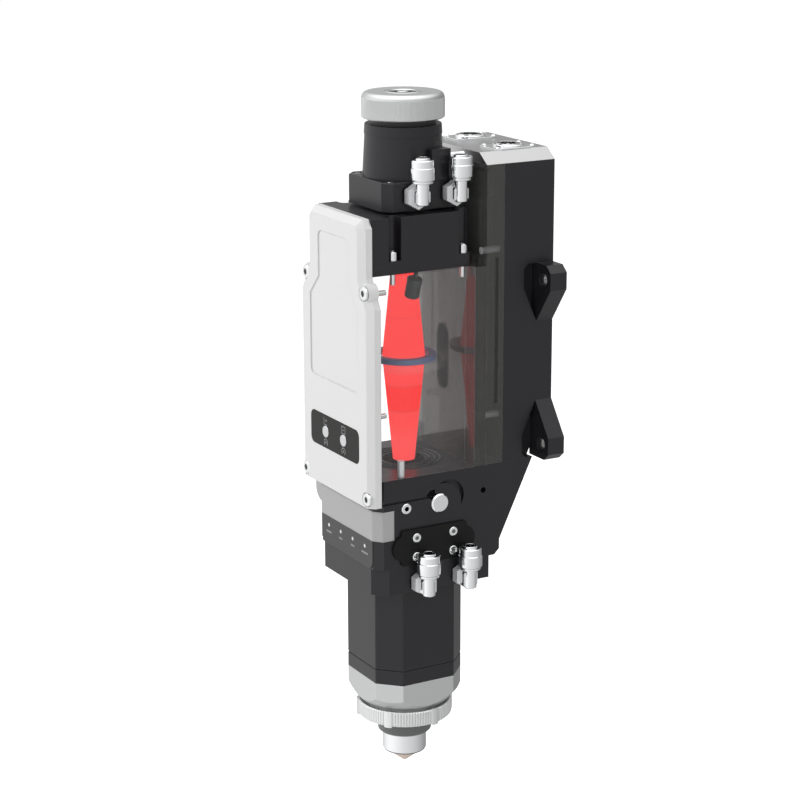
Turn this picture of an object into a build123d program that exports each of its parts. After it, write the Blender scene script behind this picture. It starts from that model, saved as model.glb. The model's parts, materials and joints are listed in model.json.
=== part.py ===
from build123d import *
from math import sqrt
import os

os.makedirs("parts", exist_ok=True)

# A fibre laser cutting head. The origin is the nozzle's tip on the beam axis.
# +Z runs up the beam, the white cover faces -Y, the water fittings are on +X
# and the mounting lugs are on the +Y side.

# Clearances
fit = 0.05
play = 0.3

# Nozzle, its holder and the ceramic ring
orifice_r = 1.0
tip_r = 2.0
cone_r = 6.8
cone_h = 6.5
nozzle_thread_r = 5.5
nozzle_thread_l = 11.0
nozzle_bore_r = 3.6
throat_h = 2.5
holder_r = 13.3
holder_h = 14.6
holder_foot_r = 8.5
holder_foot_h = 4.5
holder_spigot_r = 10.5
holder_spigot_l = 7.9
gas_bore_r = 4.6
ceramic_r = 16.3
ceramic_h = 14.2
ceramic_lip_r = 20.5
ceramic_lip_h = 3.0
ceramic_edge = 0.8

# Knurled lock ring
ring_wall = 4.5
ring_web = 2.5
ring_h = 9.3
ring_gap = 1.5
ring_edge = 0.7
ring_pads = 6
ring_pad_angle = 10.4
ring_pad_half = 6.0
ring_grooves = 15
groove_depth = 0.7

# Adapter and height-sensor body, both turned and milled from one square bar
spigot_r = 24.0
bar_half = 29.46
bar_corner = 12.14
adapter_foot_r = 27.4
adapter_taper_h = 7.9
adapter_h = 18.0
beam_bore_r = 13.0
seal_collar_h = 9.0
seam_edge = 0.5
sensor_h = 52.8

# Lower block
block_half = 36.9
block_front = 38.5
block_h = 70.1
block_corner_x = 5.3
block_corner_y = 4.4
foot_h = 16.0
foot_corner = 7.8
foot_back = 37.0
foot_back_h = 13.5
tail_step = 3.8
tail_round = 3.4
tail_lean = 0.472
tail_lip_h = 5.9

# Grey trim band and status strip on the lower block's front
trim_h = 18.0
trim_wall = 2.2
trim_proud = 0.5
trim_reach = 11.2
trim_tab_w = 10.5
trim_tab_h = 14.0
trim_tab_wall = 3.0
strip_h = 17.6
strip_corner = 3.0
led_pitch = 14.9
led_r = 1.1
led_drop = 5.4
led_count = 4

# Protective-window drawer and its cover plate
drawer_centre_y = -1.2
drawer_rise = 27.9
drawer_half_y = 18.5
drawer_h = 7.6
drawer_reach = 20.0
window_r = 15.0
window_wall = 4.0
window_seal_r = 1.1
plate_half_y = 21.8
plate_h = 21.6
plate_bulge = 5.6
plate_bulge_half = 8.0
plate_wall = 1.5
plate_corner = 1.4
plate_screw_y = 12.3
plate_screw_z = 5.8

# Plug, side screw and finger recess on the lower block's side
plug_r = 5.7
plug_h = 4.6
plug_y = 1.2
plug_rise = 53.0
plug_edge = 0.8
side_screw_y = -19.9
side_screw_rise = 52.1
seam_groove_h = 1.5
seam_groove_d = 1.5
seam_groove_drop = 14.0
side_hole_r = 1.8
side_hole_y = 32.9
side_hole_rise = 54.9
crescent_r = 10.5
crescent_y = 9.0
crescent_rise = 54.6
crescent_shift = 3.5
crescent_d = 2.4
side_notch_w = 7.0
side_notch_h = 4.5
side_thread_l = 6.0

# Clear optics chamber
chamber_h = 119.2
chamber_back = 26.6
chamber_wall_x = 11.0
chamber_wall_y = 4.0
arm_slot_half = 7.0
lens_height = 62.8
focus_travel = 10.0

# Focus lens, its blue ring and its carriage
lens_r = 18.0
lens_edge = 2.4
lens_bulge = 2.2
lens_sink = 0.27
cell_r = 21.7
cell_h = 3.0
carriage_r = 23.5
carriage_h = 4.0
arm_half = 5.0
nut_half_x = 21.0
nut_half_y = 7.0
nut_h = 22.0
screw_axis_y = 56.0
screw_r = 4.0
rod_r = 3.0
rod_pitch = 30.0
motor_half = 14.0
motor_h = 32.0
motor_rise = 122.5
motor_shelf_h = 4.0
motor_bore_l = 6.0

# Collimator block
collimator_half = 31.5
collimator_h = 32.6
slot_w = 8.0
slot_d = 6.5
slot_rise = 7.6
slot_y = 23.0
block_screw_l = 14.0
block_screw_head_h = 5.2
collimating_r = 14.0
collimating_rise = 10.0
collimating_edge = 4.0
collimating_sink = 0.6
retainer_h = 3.0
stud_x = 33.0
stud_ys = (-20.6, 30.3)
stud_l = 20.0
stud_rise = 9.8
stud_r = 2.1
stop_r = 4.6
stop_l = 14.7
stop_x = 20.0
stop_y = -5.0

# Fibre receiver on top
flange_half_x = 24.3
flange_half_y = 25.1
flange_corner = 5.0
flange_h = 16.7
flange_step_h = 1.3
flange_step_r = 21.5
flange_bore_r = 12.0
flange_screw_x = 19.3
flange_screw_y = 20.1
sleeve_foot_r = 23.53
sleeve_top_r = 21.84
sleeve_h = 30.0
sleeve_band_h = 5.8
sleeve_rim = 0.35
neck_r = 19.0
neck_h = 3.1
cap_r = 24.0
cap_h = 14.9
cap_round = 3.0
cap_recess_r = 10.9
cap_recess_d = 1.5
cap_bore_r = 7.4
cap_roof = 5.5
cap_wall = 7.0
cap_grooves = 96
latch_x = 26.6
latch_y = 3.7
latch_w = 12.3
latch_h = 17.4
latch_pin_r = 2.1
latch_pin_l = 10.0
latch_pin_x = 24.4
latch_pin_drop = 4.5

# White front cover
cover_front = 46.1
cover_bevel = 3.7
cover_wall = 2.5
cover_half_low = 42.5
cover_half_high = 32.8
cover_overlap = 13.5
cover_rise = 32.8
shoulder_low_drop = 16.5
shoulder_high_drop = 0.2
cover_corner_x = 4.0
cover_corner_z = 5.0
cover_screw_low_x = 37.7
cover_screw_low_rise = 4.9
cover_screw_high_x = 35.2
cover_screw_high_drop = 7.8
cover_screw_r = 4.0
cover_screw_h = 1.6
cover_screw_drop = 1.5
recess_half_high = 18.8
recess_half_low = 29.5
recess_top_rise = 20.0
recess_neck_drop = 7.2
recess_wide_drop = 18.7
recess_rise = 52.0
recess_depth = 0.8
recess_round = 4.0
boss_r = 5.2
lobe_wall = 1.6
frame_wall = 2.0
frame_screw_x = 31.2
frame_screw_drop = 9.7
frame_screw_rise = 37.5
frame_screw_l = 11.0

# Control panel
panel_half = 29.7
panel_rise = 10.0
panel_h = 20.1
panel_round = 4.0
panel_wall = 1.2
panel_proud = 0.2
button_x = 11.0
button_r = 3.6
button_proud = 0.5
button_flange = 1.0
board_wall = 1.2
board_half = 26.0

# Rear housing with the focus drive
rear_front = 34.1
rear_split = 46.0
rear_back = 79.6
rear_h = 177.5
cavity_half = 24.0
rear_front_wall = 3.0
rear_back_wall = 5.0
rear_roof = 6.0
cavity_rise = 28.5
rear_stud_x = 30.5
rear_stud_rise = 28.5
rear_stud_pitch = 98.6

# Mounting lugs, two on each side
lug_front = 68.5
lug_reach = 14.6
lug_hole_r = 4.2
lug_hole_x = 43.5
lug_pitch_z = 99.0
lug_centre_rise = 59.0
lug_above = 9.0
lug_flat = 10.0
lug_taper = 20.5
notch_w = 9.0
notch_d = 6.0
notch_edge = 3.0
lug_edge = 4.6

# Top plate and its two connectors
top_plate_h = 6.2
top_bevel = 8.7
connector_right = (19.0, 59.0)
connector_left = (-23.5, 59.0)
connector_half = 9.0
connector_flange_h = 0.8
connector_r = 7.6
connector_h = 2.0
connector_bore_r = 6.2
pin_circle_r = 3.4
pin_r = 0.6
pin_count = 6

# Push-in elbow fittings
hex_flats = 13.0
hex_l = 5.2
hex_stand = 1.0
thread_r = 4.3
thread_l = 2.4
spot_r = 8.3
spot_d = 0.4
elbow_slit = 0.8
elbow_neck_r = 3.0
elbow_neck_l = 4.0
elbow_barrel_r = 6.2
elbow_barrel_l = 7.3
elbow_tube_r = 3.6
elbow_bore_r = 2.5
elbow_tube_h = 8.5
elbow_socket_r = 6.95
elbow_socket_h = 10.5
elbow_floor = 2.5
elbow_groove = 0.4
elbow_hose_r = 3.1
release_r = 4.4
release_rim_r = 5.8
release_rim_h = 1.4
release_gap = 1.3
upper_elbow_y = (-7.0, 18.0)
upper_elbow_rise = 8.9
lower_elbow_y = (-10.0, 18.0)
lower_elbow_rise = 6.1

# Fasteners
m3_r = 1.5
m3_head_r = 2.75
m3_head_h = 3.0
m4_r = 2.0
m4_head_r = 3.2
m4_head_h = 2.0
hex_socket_share = 0.5

# Stations up the beam axis
holder_z = cone_h
ceramic_z = holder_z + holder_h
lip_z = ceramic_z + ceramic_h
lip_top = lip_z + ceramic_lip_h
ring_z = lip_z - ring_web
ring_top = ring_z + ring_h
adapter_z = ring_top + ring_gap
collar_z = adapter_z + adapter_h
sensor_z = collar_z + seal_collar_h
block_z = sensor_z + sensor_h
block_top = block_z + block_h
chamber_top = block_top + chamber_h
collimator_top = chamber_top + collimator_h
flange_z = collimator_top + flange_step_h
flange_top = flange_z + flange_h
sleeve_top = flange_top + sleeve_h
cap_z = sleeve_top + neck_h
cap_top = cap_z + cap_h
rear_top = block_top + rear_h
strip_z = block_z + foot_h
trim_z = strip_z + strip_h
lens_z = block_top + lens_height
drawer_centre_z = block_z + drawer_rise
plug_z = block_z + plug_rise
side_screw_z = block_z + side_screw_rise
side_hole_z = block_z + side_hole_rise
crescent_z = block_z + crescent_rise
lug_centre_z = block_top + lug_centre_rise

# Stations of the front cover, which spans the chamber
cover_z = block_top - cover_overlap
cover_top = chamber_top + cover_rise
shoulder_low = chamber_top - shoulder_low_drop
shoulder_high = chamber_top - shoulder_high_drop
cover_screw_low = (cover_screw_low_x, cover_z + cover_screw_low_rise)
cover_screw_high = (cover_screw_high_x, chamber_top - cover_screw_high_drop)
recess_top = chamber_top + recess_top_rise
recess_neck = chamber_top - recess_neck_drop
recess_wide = chamber_top - recess_wide_drop
recess_bottom = block_top + recess_rise
frame_screw_z = (chamber_top - frame_screw_drop, block_top + frame_screw_rise)
panel_z = block_top + panel_rise
panel_top = panel_z + panel_h

# Lock ring radii
ring_bore_r = spigot_r + play
ring_r = ring_bore_r + ring_wall

bottom_up = (Align.CENTER, Align.CENTER, Align.MIN)
top_down = (Align.CENTER, Align.CENTER, Align.MAX)


def keep(part, label):
    part.label = label
    export_step(part, f"parts/{label}.step")


# Sketch planes for the two sides that carry most of the detail
def facing_front(x, y, z):
    return Plane(origin=(x, y, z), x_dir=(1, 0, 0), z_dir=(0, -1, 0))


def facing_right(x, y, z):
    return Plane(origin=(x, y, z), x_dir=(0, 1, 0), z_dir=(1, 0, 0))


def facing_back(x, y, z):
    return Plane(origin=(x, y, z), x_dir=(-1, 0, 0), z_dir=(0, 1, 0))


# A turned piece from its half section, a list of (radius, height) corners
def turned(*corners, mode=Mode.ADD):
    with BuildSketch(Plane.XZ) as half_section:
        with BuildLine():
            Polyline(*corners, close=True)
        make_face()
    revolve(half_section.sketch, axis=Axis.Z, mode=mode)


# The milled bar's section, a square with cut corners
def bar_section():
    outline = Rectangle(2 * bar_half, 2 * bar_half)
    chamfer(outline.vertices(), bar_corner)


# Straight grooves in a rim, spread evenly or in groups between smooth pads
def grip(radius, bottom, height, count, start=0.0, spread=360.0, closed=False):
    with BuildSketch(Plane.XY.offset(bottom)) as grooves:
        with PolarLocations(radius, count, start_angle=start, angular_range=spread, endpoint=closed):
            RegularPolygon(groove_depth, 3, rotation=180)
    extrude(grooves.sketch, amount=height, mode=Mode.SUBTRACT)


# A screw with its seat at the origin and its head along +Z
def socket_screw(head_r, head_h, shank_r, shank_l):
    with BuildPart() as screw:
        Cylinder(head_r, head_h, align=bottom_up)
        chamfer(screw.faces().sort_by(Axis.Z)[-1].edges(), head_r * 0.12)
        with BuildSketch(Plane.XY.offset(head_h)):
            RegularPolygon(head_r * hex_socket_share, 6)
        extrude(amount=-head_h * hex_socket_share, mode=Mode.SUBTRACT)
        Cylinder(shank_r, shank_l, align=top_down)
    return screw.part


# A convex glass lens with its middle at the origin, common to two balls and a disc
def lens(radius, edge, bulge):
    ball_r = (radius ** 2 + bulge ** 2) / (2 * bulge)
    centre = ball_r - edge / 2 - bulge
    with BuildPart() as glass:
        Cylinder(radius, edge + 2 * bulge)
        with Locations((0, 0, centre)):
            Sphere(ball_r, mode=Mode.INTERSECT)
        with Locations((0, 0, -centre)):
            Sphere(ball_r, mode=Mode.INTERSECT)
    return glass.part


# Copper nozzle: a cone outside, a converging gas passage inside
with BuildPart() as nozzle:
    thread_top = cone_h + nozzle_thread_l
    turned(
        (orifice_r, 0), (tip_r, 0), (cone_r, cone_h), (nozzle_thread_r, cone_h),
        (nozzle_thread_r, thread_top), (nozzle_bore_r, thread_top), (orifice_r, throat_h),
    )
keep(nozzle.part, "nozzle")

# Plated holder that the nozzle screws into
with BuildPart() as nozzle_holder:
    spigot_top = ceramic_z + holder_spigot_l
    turned(
        (nozzle_thread_r + fit, holder_z), (holder_foot_r, holder_z),
        (holder_r, holder_z + holder_foot_h), (holder_r, ceramic_z),
        (holder_spigot_r, ceramic_z), (holder_spigot_r, spigot_top),
        (gas_bore_r, spigot_top), (gas_bore_r, thread_top), (nozzle_thread_r + fit, thread_top),
    )
keep(nozzle_holder.part, "nozzle_holder")

# Ceramic ring that insulates the nozzle from the sensor
with BuildPart() as ceramic_ring:
    turned(
        (holder_spigot_r + fit, ceramic_z), (ceramic_r - ceramic_edge, ceramic_z),
        (ceramic_r, ceramic_z + ceramic_edge), (ceramic_r, lip_z), (ceramic_lip_r, lip_z),
        (ceramic_lip_r, lip_top), (holder_spigot_r, lip_top), (gas_bore_r, spigot_top),
        (holder_spigot_r + fit, spigot_top),
    )
keep(ceramic_ring.part, "ceramic_ring")

# Knurled lock ring: the web carries the ceramic's lip, the wall screws on the adapter
with BuildPart() as lock_ring:
    turned(
        (ceramic_r + play, ring_z), (ring_r - ring_edge, ring_z), (ring_r, ring_z + ring_edge),
        (ring_r, ring_top - ring_edge), (ring_r - ring_edge, ring_top), (ring_bore_r, ring_top),
        (ring_bore_r, lip_z), (ceramic_r + play, lip_z),
    )
    sector = 360 / ring_pads
    for pad in range(ring_pads):
        start = ring_pad_angle + pad * sector + ring_pad_half
        grip(ring_r, ring_z, ring_h, ring_grooves, start, sector - 2 * ring_pad_half, True)
keep(lock_ring.part, "lock_ring")

# Silver adapter: a round spigot and foot that open out to the bar section
with BuildPart() as sensor_adapter:
    with BuildSketch(Plane.XY.offset(adapter_z)):
        bar_section()
    extrude(amount=adapter_h)
    bar_corner_r = sqrt(bar_half ** 2 + (bar_half - bar_corner) ** 2)
    with BuildSketch(Plane.XZ):
        with BuildLine():
            Polyline(
                (0, adapter_z), (adapter_foot_r, adapter_z),
                (bar_corner_r, adapter_z + adapter_taper_h), (bar_corner_r, collar_z),
                (0, collar_z), close=True,
            )
        make_face()
    revolve(axis=Axis.Z, mode=Mode.INTERSECT)
    with Locations((0, 0, lip_top)):
        Cylinder(spigot_r, adapter_z - lip_top, align=bottom_up)
        Cylinder(beam_bore_r, collar_z - lip_top, align=bottom_up, mode=Mode.SUBTRACT)
keep(sensor_adapter.part, "sensor_adapter")

# Black seal collar between the adapter and the sensor body
with BuildPart() as seal_collar:
    with BuildSketch(Plane.XY.offset(collar_z)):
        bar_section()
    extrude(amount=seal_collar_h)
    chamfer(seal_collar.faces().sort_by(Axis.Z)[-1].outer_wire().edges(), seam_edge)
    with Locations((0, 0, collar_z)):
        Cylinder(beam_bore_r, seal_collar_h, align=bottom_up, mode=Mode.SUBTRACT)
keep(seal_collar.part, "seal_collar")

# Sensor body, the long milled bar under the lower block
with BuildPart() as sensor_body:
    with BuildSketch(Plane.XY.offset(sensor_z)):
        bar_section()
    extrude(amount=sensor_h)
    chamfer(sensor_body.faces().sort_by(Axis.Z)[0].outer_wire().edges(), seam_edge)
    with Locations((0, 0, sensor_z)):
        Cylinder(beam_bore_r, sensor_h, align=bottom_up, mode=Mode.SUBTRACT)
keep(sensor_body.part, "sensor_body")

# Front corners of the lower block and of the trim band, seen from above
def front_corners(front, half, corner_x, corner_y, back, mode=Mode.ADD):
    with BuildLine() as outline:
        Polyline(
            (-half, back), (-half, front + corner_y), (-half + corner_x, front),
            (half - corner_x, front), (half, front + corner_y), (half, back), close=True,
        )
    make_face(outline.edges(), mode=mode)


# The trim band's section, open to the back
def trim_section():
    front = -block_front - trim_proud
    back = -block_front + trim_reach
    front_corners(front, block_half, block_corner_x, block_corner_y, back)
    inner_half = block_half - trim_wall
    front_corners(front + trim_wall, inner_half, block_corner_x, block_corner_y, back, Mode.SUBTRACT)


# The status strip's outline, with its two lower corners cut
def strip_outline():
    strip_half = block_half - block_corner_x
    with Locations((0, strip_z + strip_h / 2)):
        outline = Rectangle(2 * strip_half, strip_h)
    chamfer(outline.vertices().group_by(Axis.Y)[0], strip_corner)


# Lower block: the front is square-shouldered, the tail leans out to the rear housing
tail_foot = foot_back + tail_step + tail_round
tail_foot_z = block_z + foot_back_h + tail_round
tail_top = tail_foot + tail_lean * (block_top - tail_foot_z - tail_lip_h)
strip_seat = block_front + trim_proud - trim_wall
drawer_z = drawer_centre_z - drawer_h / 2
plate_screw_places = [
    (drawer_centre_y + y, drawer_centre_z + z)
    for y in (-plate_screw_y, plate_screw_y) for z in (-plate_screw_z, plate_screw_z)
]
stud_xs = (-stud_x, stud_x)
slot_x = collimator_half - slot_d / 2
slot_xs = (-slot_x, slot_x)
slot_ys = (-slot_y, slot_y)
with BuildPart() as lower_block:
    with BuildSketch(Plane.XY.offset(block_z)):
        front_corners(-block_front, block_half, foot_corner, foot_corner, tail_top)
    extrude(amount=foot_h)
    with BuildSketch(Plane.XY.offset(strip_z)):
        front_corners(-block_front, block_half, block_corner_x, block_corner_y, tail_top)
    extrude(amount=block_top - strip_z)
    with BuildSketch(Plane.YZ.offset(-block_half)):
        with BuildLine():
            Polyline(
                (-block_front, block_z), (foot_back, block_z), (foot_back, block_z + foot_back_h),
                (foot_back + tail_step, block_z + foot_back_h), (tail_foot, tail_foot_z),
                (tail_foot, tail_foot_z + tail_lip_h), (tail_top, block_top),
                (-block_front, block_top), close=True,
            )
        make_face()
    extrude(amount=2 * block_half, mode=Mode.INTERSECT)
    with Locations((0, 0, block_z)):
        Cylinder(beam_bore_r, block_h, align=bottom_up, mode=Mode.SUBTRACT)
    with BuildSketch(Plane.XY.offset(trim_z)):
        trim_section()
    extrude(amount=trim_h, mode=Mode.SUBTRACT)
    with BuildSketch(facing_front(0, -strip_seat, 0)):
        strip_outline()
    extrude(amount=trim_wall, mode=Mode.SUBTRACT)
    # the drawer's pocket
    with BuildSketch(Plane.YZ.offset(block_half)):
        with Locations((drawer_centre_y, drawer_z)):
            Rectangle(2 * (drawer_half_y + fit), drawer_h + play, align=(Align.CENTER, Align.MIN))
    extrude(amount=-(block_half + drawer_reach), mode=Mode.SUBTRACT)
    # threaded holes in the side
    with Locations(*[facing_right(block_half, y, z) for y, z in plate_screw_places]):
        Cylinder(m3_r, side_thread_l, align=top_down, mode=Mode.SUBTRACT)
    with Locations(facing_right(block_half, side_screw_y, side_screw_z)):
        Cylinder(m4_r, side_thread_l, align=top_down, mode=Mode.SUBTRACT)
    with Locations(facing_right(block_half, side_hole_y, side_hole_z)):
        Cylinder(side_hole_r, side_thread_l, align=top_down, mode=Mode.SUBTRACT)
    # finger crescent, seam groove and the notch at its end
    with BuildSketch(Plane.YZ.offset(block_half)):
        with Locations((crescent_y, crescent_z)):
            Circle(crescent_r)
        with Locations((crescent_y - crescent_shift, crescent_z - crescent_shift)):
            Circle(crescent_r + crescent_shift / 2, mode=Mode.SUBTRACT)
    extrude(amount=-crescent_d, mode=Mode.SUBTRACT)
    with BuildSketch(Plane.YZ.offset(block_half)):
        with Locations((-block_front, block_top - seam_groove_drop)):
            Rectangle(block_front - side_notch_w / 2, seam_groove_h, align=(Align.MIN, Align.CENTER))
    extrude(amount=-seam_groove_d, mode=Mode.SUBTRACT)
    with BuildSketch(Plane.YZ.offset(block_half)):
        with BuildLine():
            notch_z = block_top - seam_groove_drop
            Polyline(
                (-side_notch_w, notch_z), (-side_notch_w / 2, notch_z + side_notch_h),
                (0, notch_z + side_notch_h), (0, notch_z), close=True,
            )
        make_face()
    extrude(amount=-crescent_d, mode=Mode.SUBTRACT)
    with Locations(*[facing_right(block_half, y, block_z + lower_elbow_rise) for y in lower_elbow_y]):
        Cylinder(thread_r, thread_l, align=top_down, mode=Mode.SUBTRACT)
    with Locations(*[(x, y, block_top) for x in stud_xs for y in stud_ys]):
        Cylinder(stud_r, stud_l - stud_rise, align=top_down, mode=Mode.SUBTRACT)
keep(lower_block.part, "lower_block")

# Grey trim band, with a rounded finger tab on its -X end
with BuildPart() as trim_band:
    with BuildSketch(Plane.XY.offset(trim_z)):
        trim_section()
    extrude(amount=trim_h)
    with BuildSketch(facing_front(0, -block_front + block_corner_y - trim_proud, 0)):
        with Locations((-block_half, trim_z + trim_h)):
            Rectangle(trim_tab_w, trim_tab_h, align=(Align.MAX, Align.MAX))
            tab_foot = vertices().group_by(Axis.X)[0].sort_by(Axis.Y)[0]
        fillet(tab_foot, trim_tab_w * 0.8)
    extrude(amount=-trim_tab_wall)
keep(trim_band.part, "trim_band")

# Status strip and its four light windows
led_z = strip_z + strip_h - led_drop
led_xs = [led_pitch * (i - (led_count - 1) / 2) for i in range(led_count)]
with BuildPart() as status_strip:
    with BuildSketch(facing_front(0, -strip_seat, 0)):
        strip_outline()
    extrude(amount=trim_wall)
    with Locations(*[facing_front(x, -strip_seat - trim_wall, led_z) for x in led_xs]):
        Cylinder(led_r, trim_wall / 2, align=top_down, mode=Mode.SUBTRACT)
keep(status_strip.part, "status_strip")

with BuildPart() as status_lights:
    with Locations(*[facing_front(x, -strip_seat - trim_wall, led_z) for x in led_xs]):
        Cylinder(led_r, trim_wall / 2, align=top_down)
keep(status_lights.part, "status_lights")

# Protective-window drawer: the window lies on a ledge under its seal ring
ledge_z = drawer_z + (drawer_h - window_wall - 2 * window_seal_r) / 2
with BuildPart() as window_drawer:
    with BuildSketch(Plane.YZ.offset(block_half)):
        with Locations((drawer_centre_y, drawer_z)):
            Rectangle(2 * drawer_half_y, drawer_h, align=(Align.CENTER, Align.MIN))
    extrude(amount=-(block_half + drawer_reach))
    with Locations((0, 0, drawer_z)):
        Cylinder(beam_bore_r, drawer_h, align=bottom_up, mode=Mode.SUBTRACT)
    with Locations((0, 0, ledge_z)):
        Cylinder(window_r + fit, drawer_h, align=bottom_up, mode=Mode.SUBTRACT)
keep(window_drawer.part, "window_drawer")

with BuildPart() as protective_window:
    with Locations((0, 0, ledge_z)):
        Cylinder(window_r, window_wall, align=bottom_up)
keep(protective_window.part, "protective_window")

with BuildPart() as window_seal:
    with Locations((0, 0, ledge_z + window_wall + window_seal_r)):
        Torus(window_r - window_seal_r, window_seal_r)
keep(window_seal.part, "window_seal")

# Cover plate over the drawer, with a round bulge at each end
with BuildPart() as drawer_plate:
    with BuildSketch(facing_right(block_half, drawer_centre_y, drawer_centre_z)):
        Rectangle(2 * plate_half_y, plate_h)
        bulge_y = plate_half_y + plate_bulge - plate_bulge_half
        with Locations((-bulge_y, 0), (bulge_y, 0)):
            Circle(plate_bulge_half)
        fillet(vertices(), plate_corner)
    extrude(amount=plate_wall)
    with Locations(*[facing_right(block_half, y, z) for y, z in plate_screw_places]):
        Cylinder(m3_r + fit, plate_wall, align=bottom_up, mode=Mode.SUBTRACT)
keep(drawer_plate.part, "drawer_plate")

plate_screw = socket_screw(m3_head_r, plate_wall * 0.9, m3_r, side_thread_l)
with BuildPart() as drawer_plate_screws:
    with Locations(*[facing_right(block_half + plate_wall, y, z) for y, z in plate_screw_places]):
        add(plate_screw)
keep(drawer_plate_screws.part, "drawer_plate_screws")

# Plated gas plug and the screw beside it
with BuildPart() as gas_plug:
    with BuildSketch(facing_right(block_half, plug_y, plug_z)):
        Circle(plug_r)
    extrude(amount=plug_h)
    chamfer(gas_plug.faces().sort_by(Axis.X)[-1].edges(), plug_edge)
keep(gas_plug.part, "gas_plug")

with BuildPart() as side_screw:
    with Locations(facing_right(block_half, side_screw_y, side_screw_z)):
        add(socket_screw(m4_head_r, m4_head_h, m4_r, side_thread_l))
keep(side_screw.part, "side_screw")

# Clear chamber: two thick side walls, a front wall, open to the back wall
chamber_inner = block_half - chamber_wall_x
with BuildPart() as optics_chamber:
    with BuildSketch(Plane.XY.offset(block_top)):
        with Locations((0, -block_front)):
            Rectangle(2 * block_half, block_front + chamber_back, align=(Align.CENTER, Align.MIN))
        with Locations((0, -block_front + chamber_wall_y)):
            Rectangle(
                2 * chamber_inner, block_front + chamber_back - chamber_wall_y,
                align=(Align.CENTER, Align.MIN), mode=Mode.SUBTRACT,
            )
    extrude(amount=chamber_h)
    with Locations(*[(x, stud_ys[0], block_top) for x in stud_xs]):
        Cylinder(stud_r, stud_rise, align=bottom_up, mode=Mode.SUBTRACT)
    with Locations(*[
        facing_front(x, -block_front, z) for x in (-frame_screw_x, frame_screw_x) for z in frame_screw_z
    ]):
        Cylinder(m3_r, frame_screw_l - frame_wall, align=top_down, mode=Mode.SUBTRACT)
    with Locations(*[(x, y, chamber_top) for x in slot_xs for y in slot_ys]):
        Cylinder(m3_r, block_screw_l - slot_rise, align=top_down, mode=Mode.SUBTRACT)
keep(optics_chamber.part, "optics_chamber")

# Smoked back wall, slotted for the lens carriage's arm
cell_z = lens_z - cell_h / 2
carriage_z = cell_z - carriage_h
slot_bottom = carriage_z - focus_travel - 1
slot_top = cell_z + focus_travel + 1


# The slot that the arm runs in, cut through whatever stands between two depths
def arm_slot(front, depth):
    with BuildSketch(facing_back(0, front, 0)) as slot:
        with Locations((0, (slot_bottom + slot_top) / 2)):
            SlotCenterToCenter(slot_top - slot_bottom, 2 * arm_slot_half, rotation=90)
    extrude(slot.sketch, amount=depth, mode=Mode.SUBTRACT)


with BuildPart() as chamber_back_wall:
    with BuildSketch(facing_back(0, chamber_back, block_top)):
        Rectangle(2 * block_half, chamber_h, align=(Align.CENTER, Align.MIN))
    extrude(amount=rear_front - chamber_back)
    arm_slot(chamber_back, rear_front - chamber_back)
    with Locations(*[(x, stud_ys[1], block_top) for x in stud_xs]):
        Cylinder(stud_r, stud_rise, align=bottom_up, mode=Mode.SUBTRACT)
keep(chamber_back_wall.part, "chamber_back_wall")

# Focus lens, held by its blue ring on the carriage
with BuildPart() as lens_ring:
    with Locations((0, 0, cell_z)):
        Cylinder(cell_r, cell_h, align=bottom_up)
        Cylinder(lens_r + fit, cell_h, align=bottom_up, mode=Mode.SUBTRACT)
    chamfer(lens_ring.edges().filter_by(GeomType.CIRCLE).group_by(Axis.Z)[-1].sort_by(SortBy.RADIUS)[-1], seam_edge)
keep(lens_ring.part, "lens_ring")

with BuildPart() as focus_lens:
    with Locations((0, 0, cell_z + lens_edge / 2 + lens_sink)):
        add(lens(lens_r, lens_edge, lens_bulge))
keep(focus_lens.part, "focus_lens")

# Carriage: lens seat, arm through the back wall, nut block on rods and screw
nut_z = carriage_z + carriage_h / 2 - nut_h / 2
rod_xs = (-rod_pitch / 2, rod_pitch / 2)
with BuildPart() as lens_carriage:
    with Locations((0, 0, carriage_z)):
        Cylinder(carriage_r, carriage_h, align=bottom_up)
    with BuildSketch(Plane.XY.offset(carriage_z)):
        Rectangle(2 * arm_half, screw_axis_y, align=(Align.CENTER, Align.MIN))
    extrude(amount=carriage_h)
    with Locations((0, 0, carriage_z)):
        Cylinder(lens_r - window_seal_r, carriage_h, align=bottom_up, mode=Mode.SUBTRACT)
    with Locations((0, screw_axis_y, nut_z)):
        Box(2 * nut_half_x, 2 * nut_half_y, nut_h, align=bottom_up)
        Cylinder(screw_r + play, nut_h, align=bottom_up, mode=Mode.SUBTRACT)
    with Locations(*[(x, screw_axis_y, nut_z) for x in rod_xs]):
        Cylinder(rod_r + fit, nut_h, align=bottom_up, mode=Mode.SUBTRACT)
keep(lens_carriage.part, "lens_carriage")

# Focus drive in the rear housing: guide rods, motor and lead screw
cavity_z = block_top + cavity_rise
cavity_top = rear_top - rear_roof
motor_z = block_top + motor_rise
with BuildPart() as guide_rods:
    with Locations(*[(x, screw_axis_y, cavity_z) for x in rod_xs]):
        Cylinder(rod_r, motor_z - motor_shelf_h - cavity_z, align=bottom_up)
keep(guide_rods.part, "guide_rods")

with BuildPart() as focus_motor:
    with BuildSketch(Plane.XY.offset(motor_z)):
        with Locations((0, screw_axis_y)):
            RectangleRounded(2 * motor_half, 2 * motor_half, motor_half * 0.2)
    extrude(amount=motor_h)
    with Locations((0, screw_axis_y, motor_z)):
        Cylinder(screw_r + fit, motor_bore_l, align=bottom_up, mode=Mode.SUBTRACT)
keep(focus_motor.part, "focus_motor")

with BuildPart() as lead_screw:
    with Locations((0, screw_axis_y, cavity_z + play)):
        Cylinder(screw_r, motor_z + motor_bore_l - play - cavity_z - play, align=bottom_up)
keep(lead_screw.part, "lead_screw")

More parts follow.
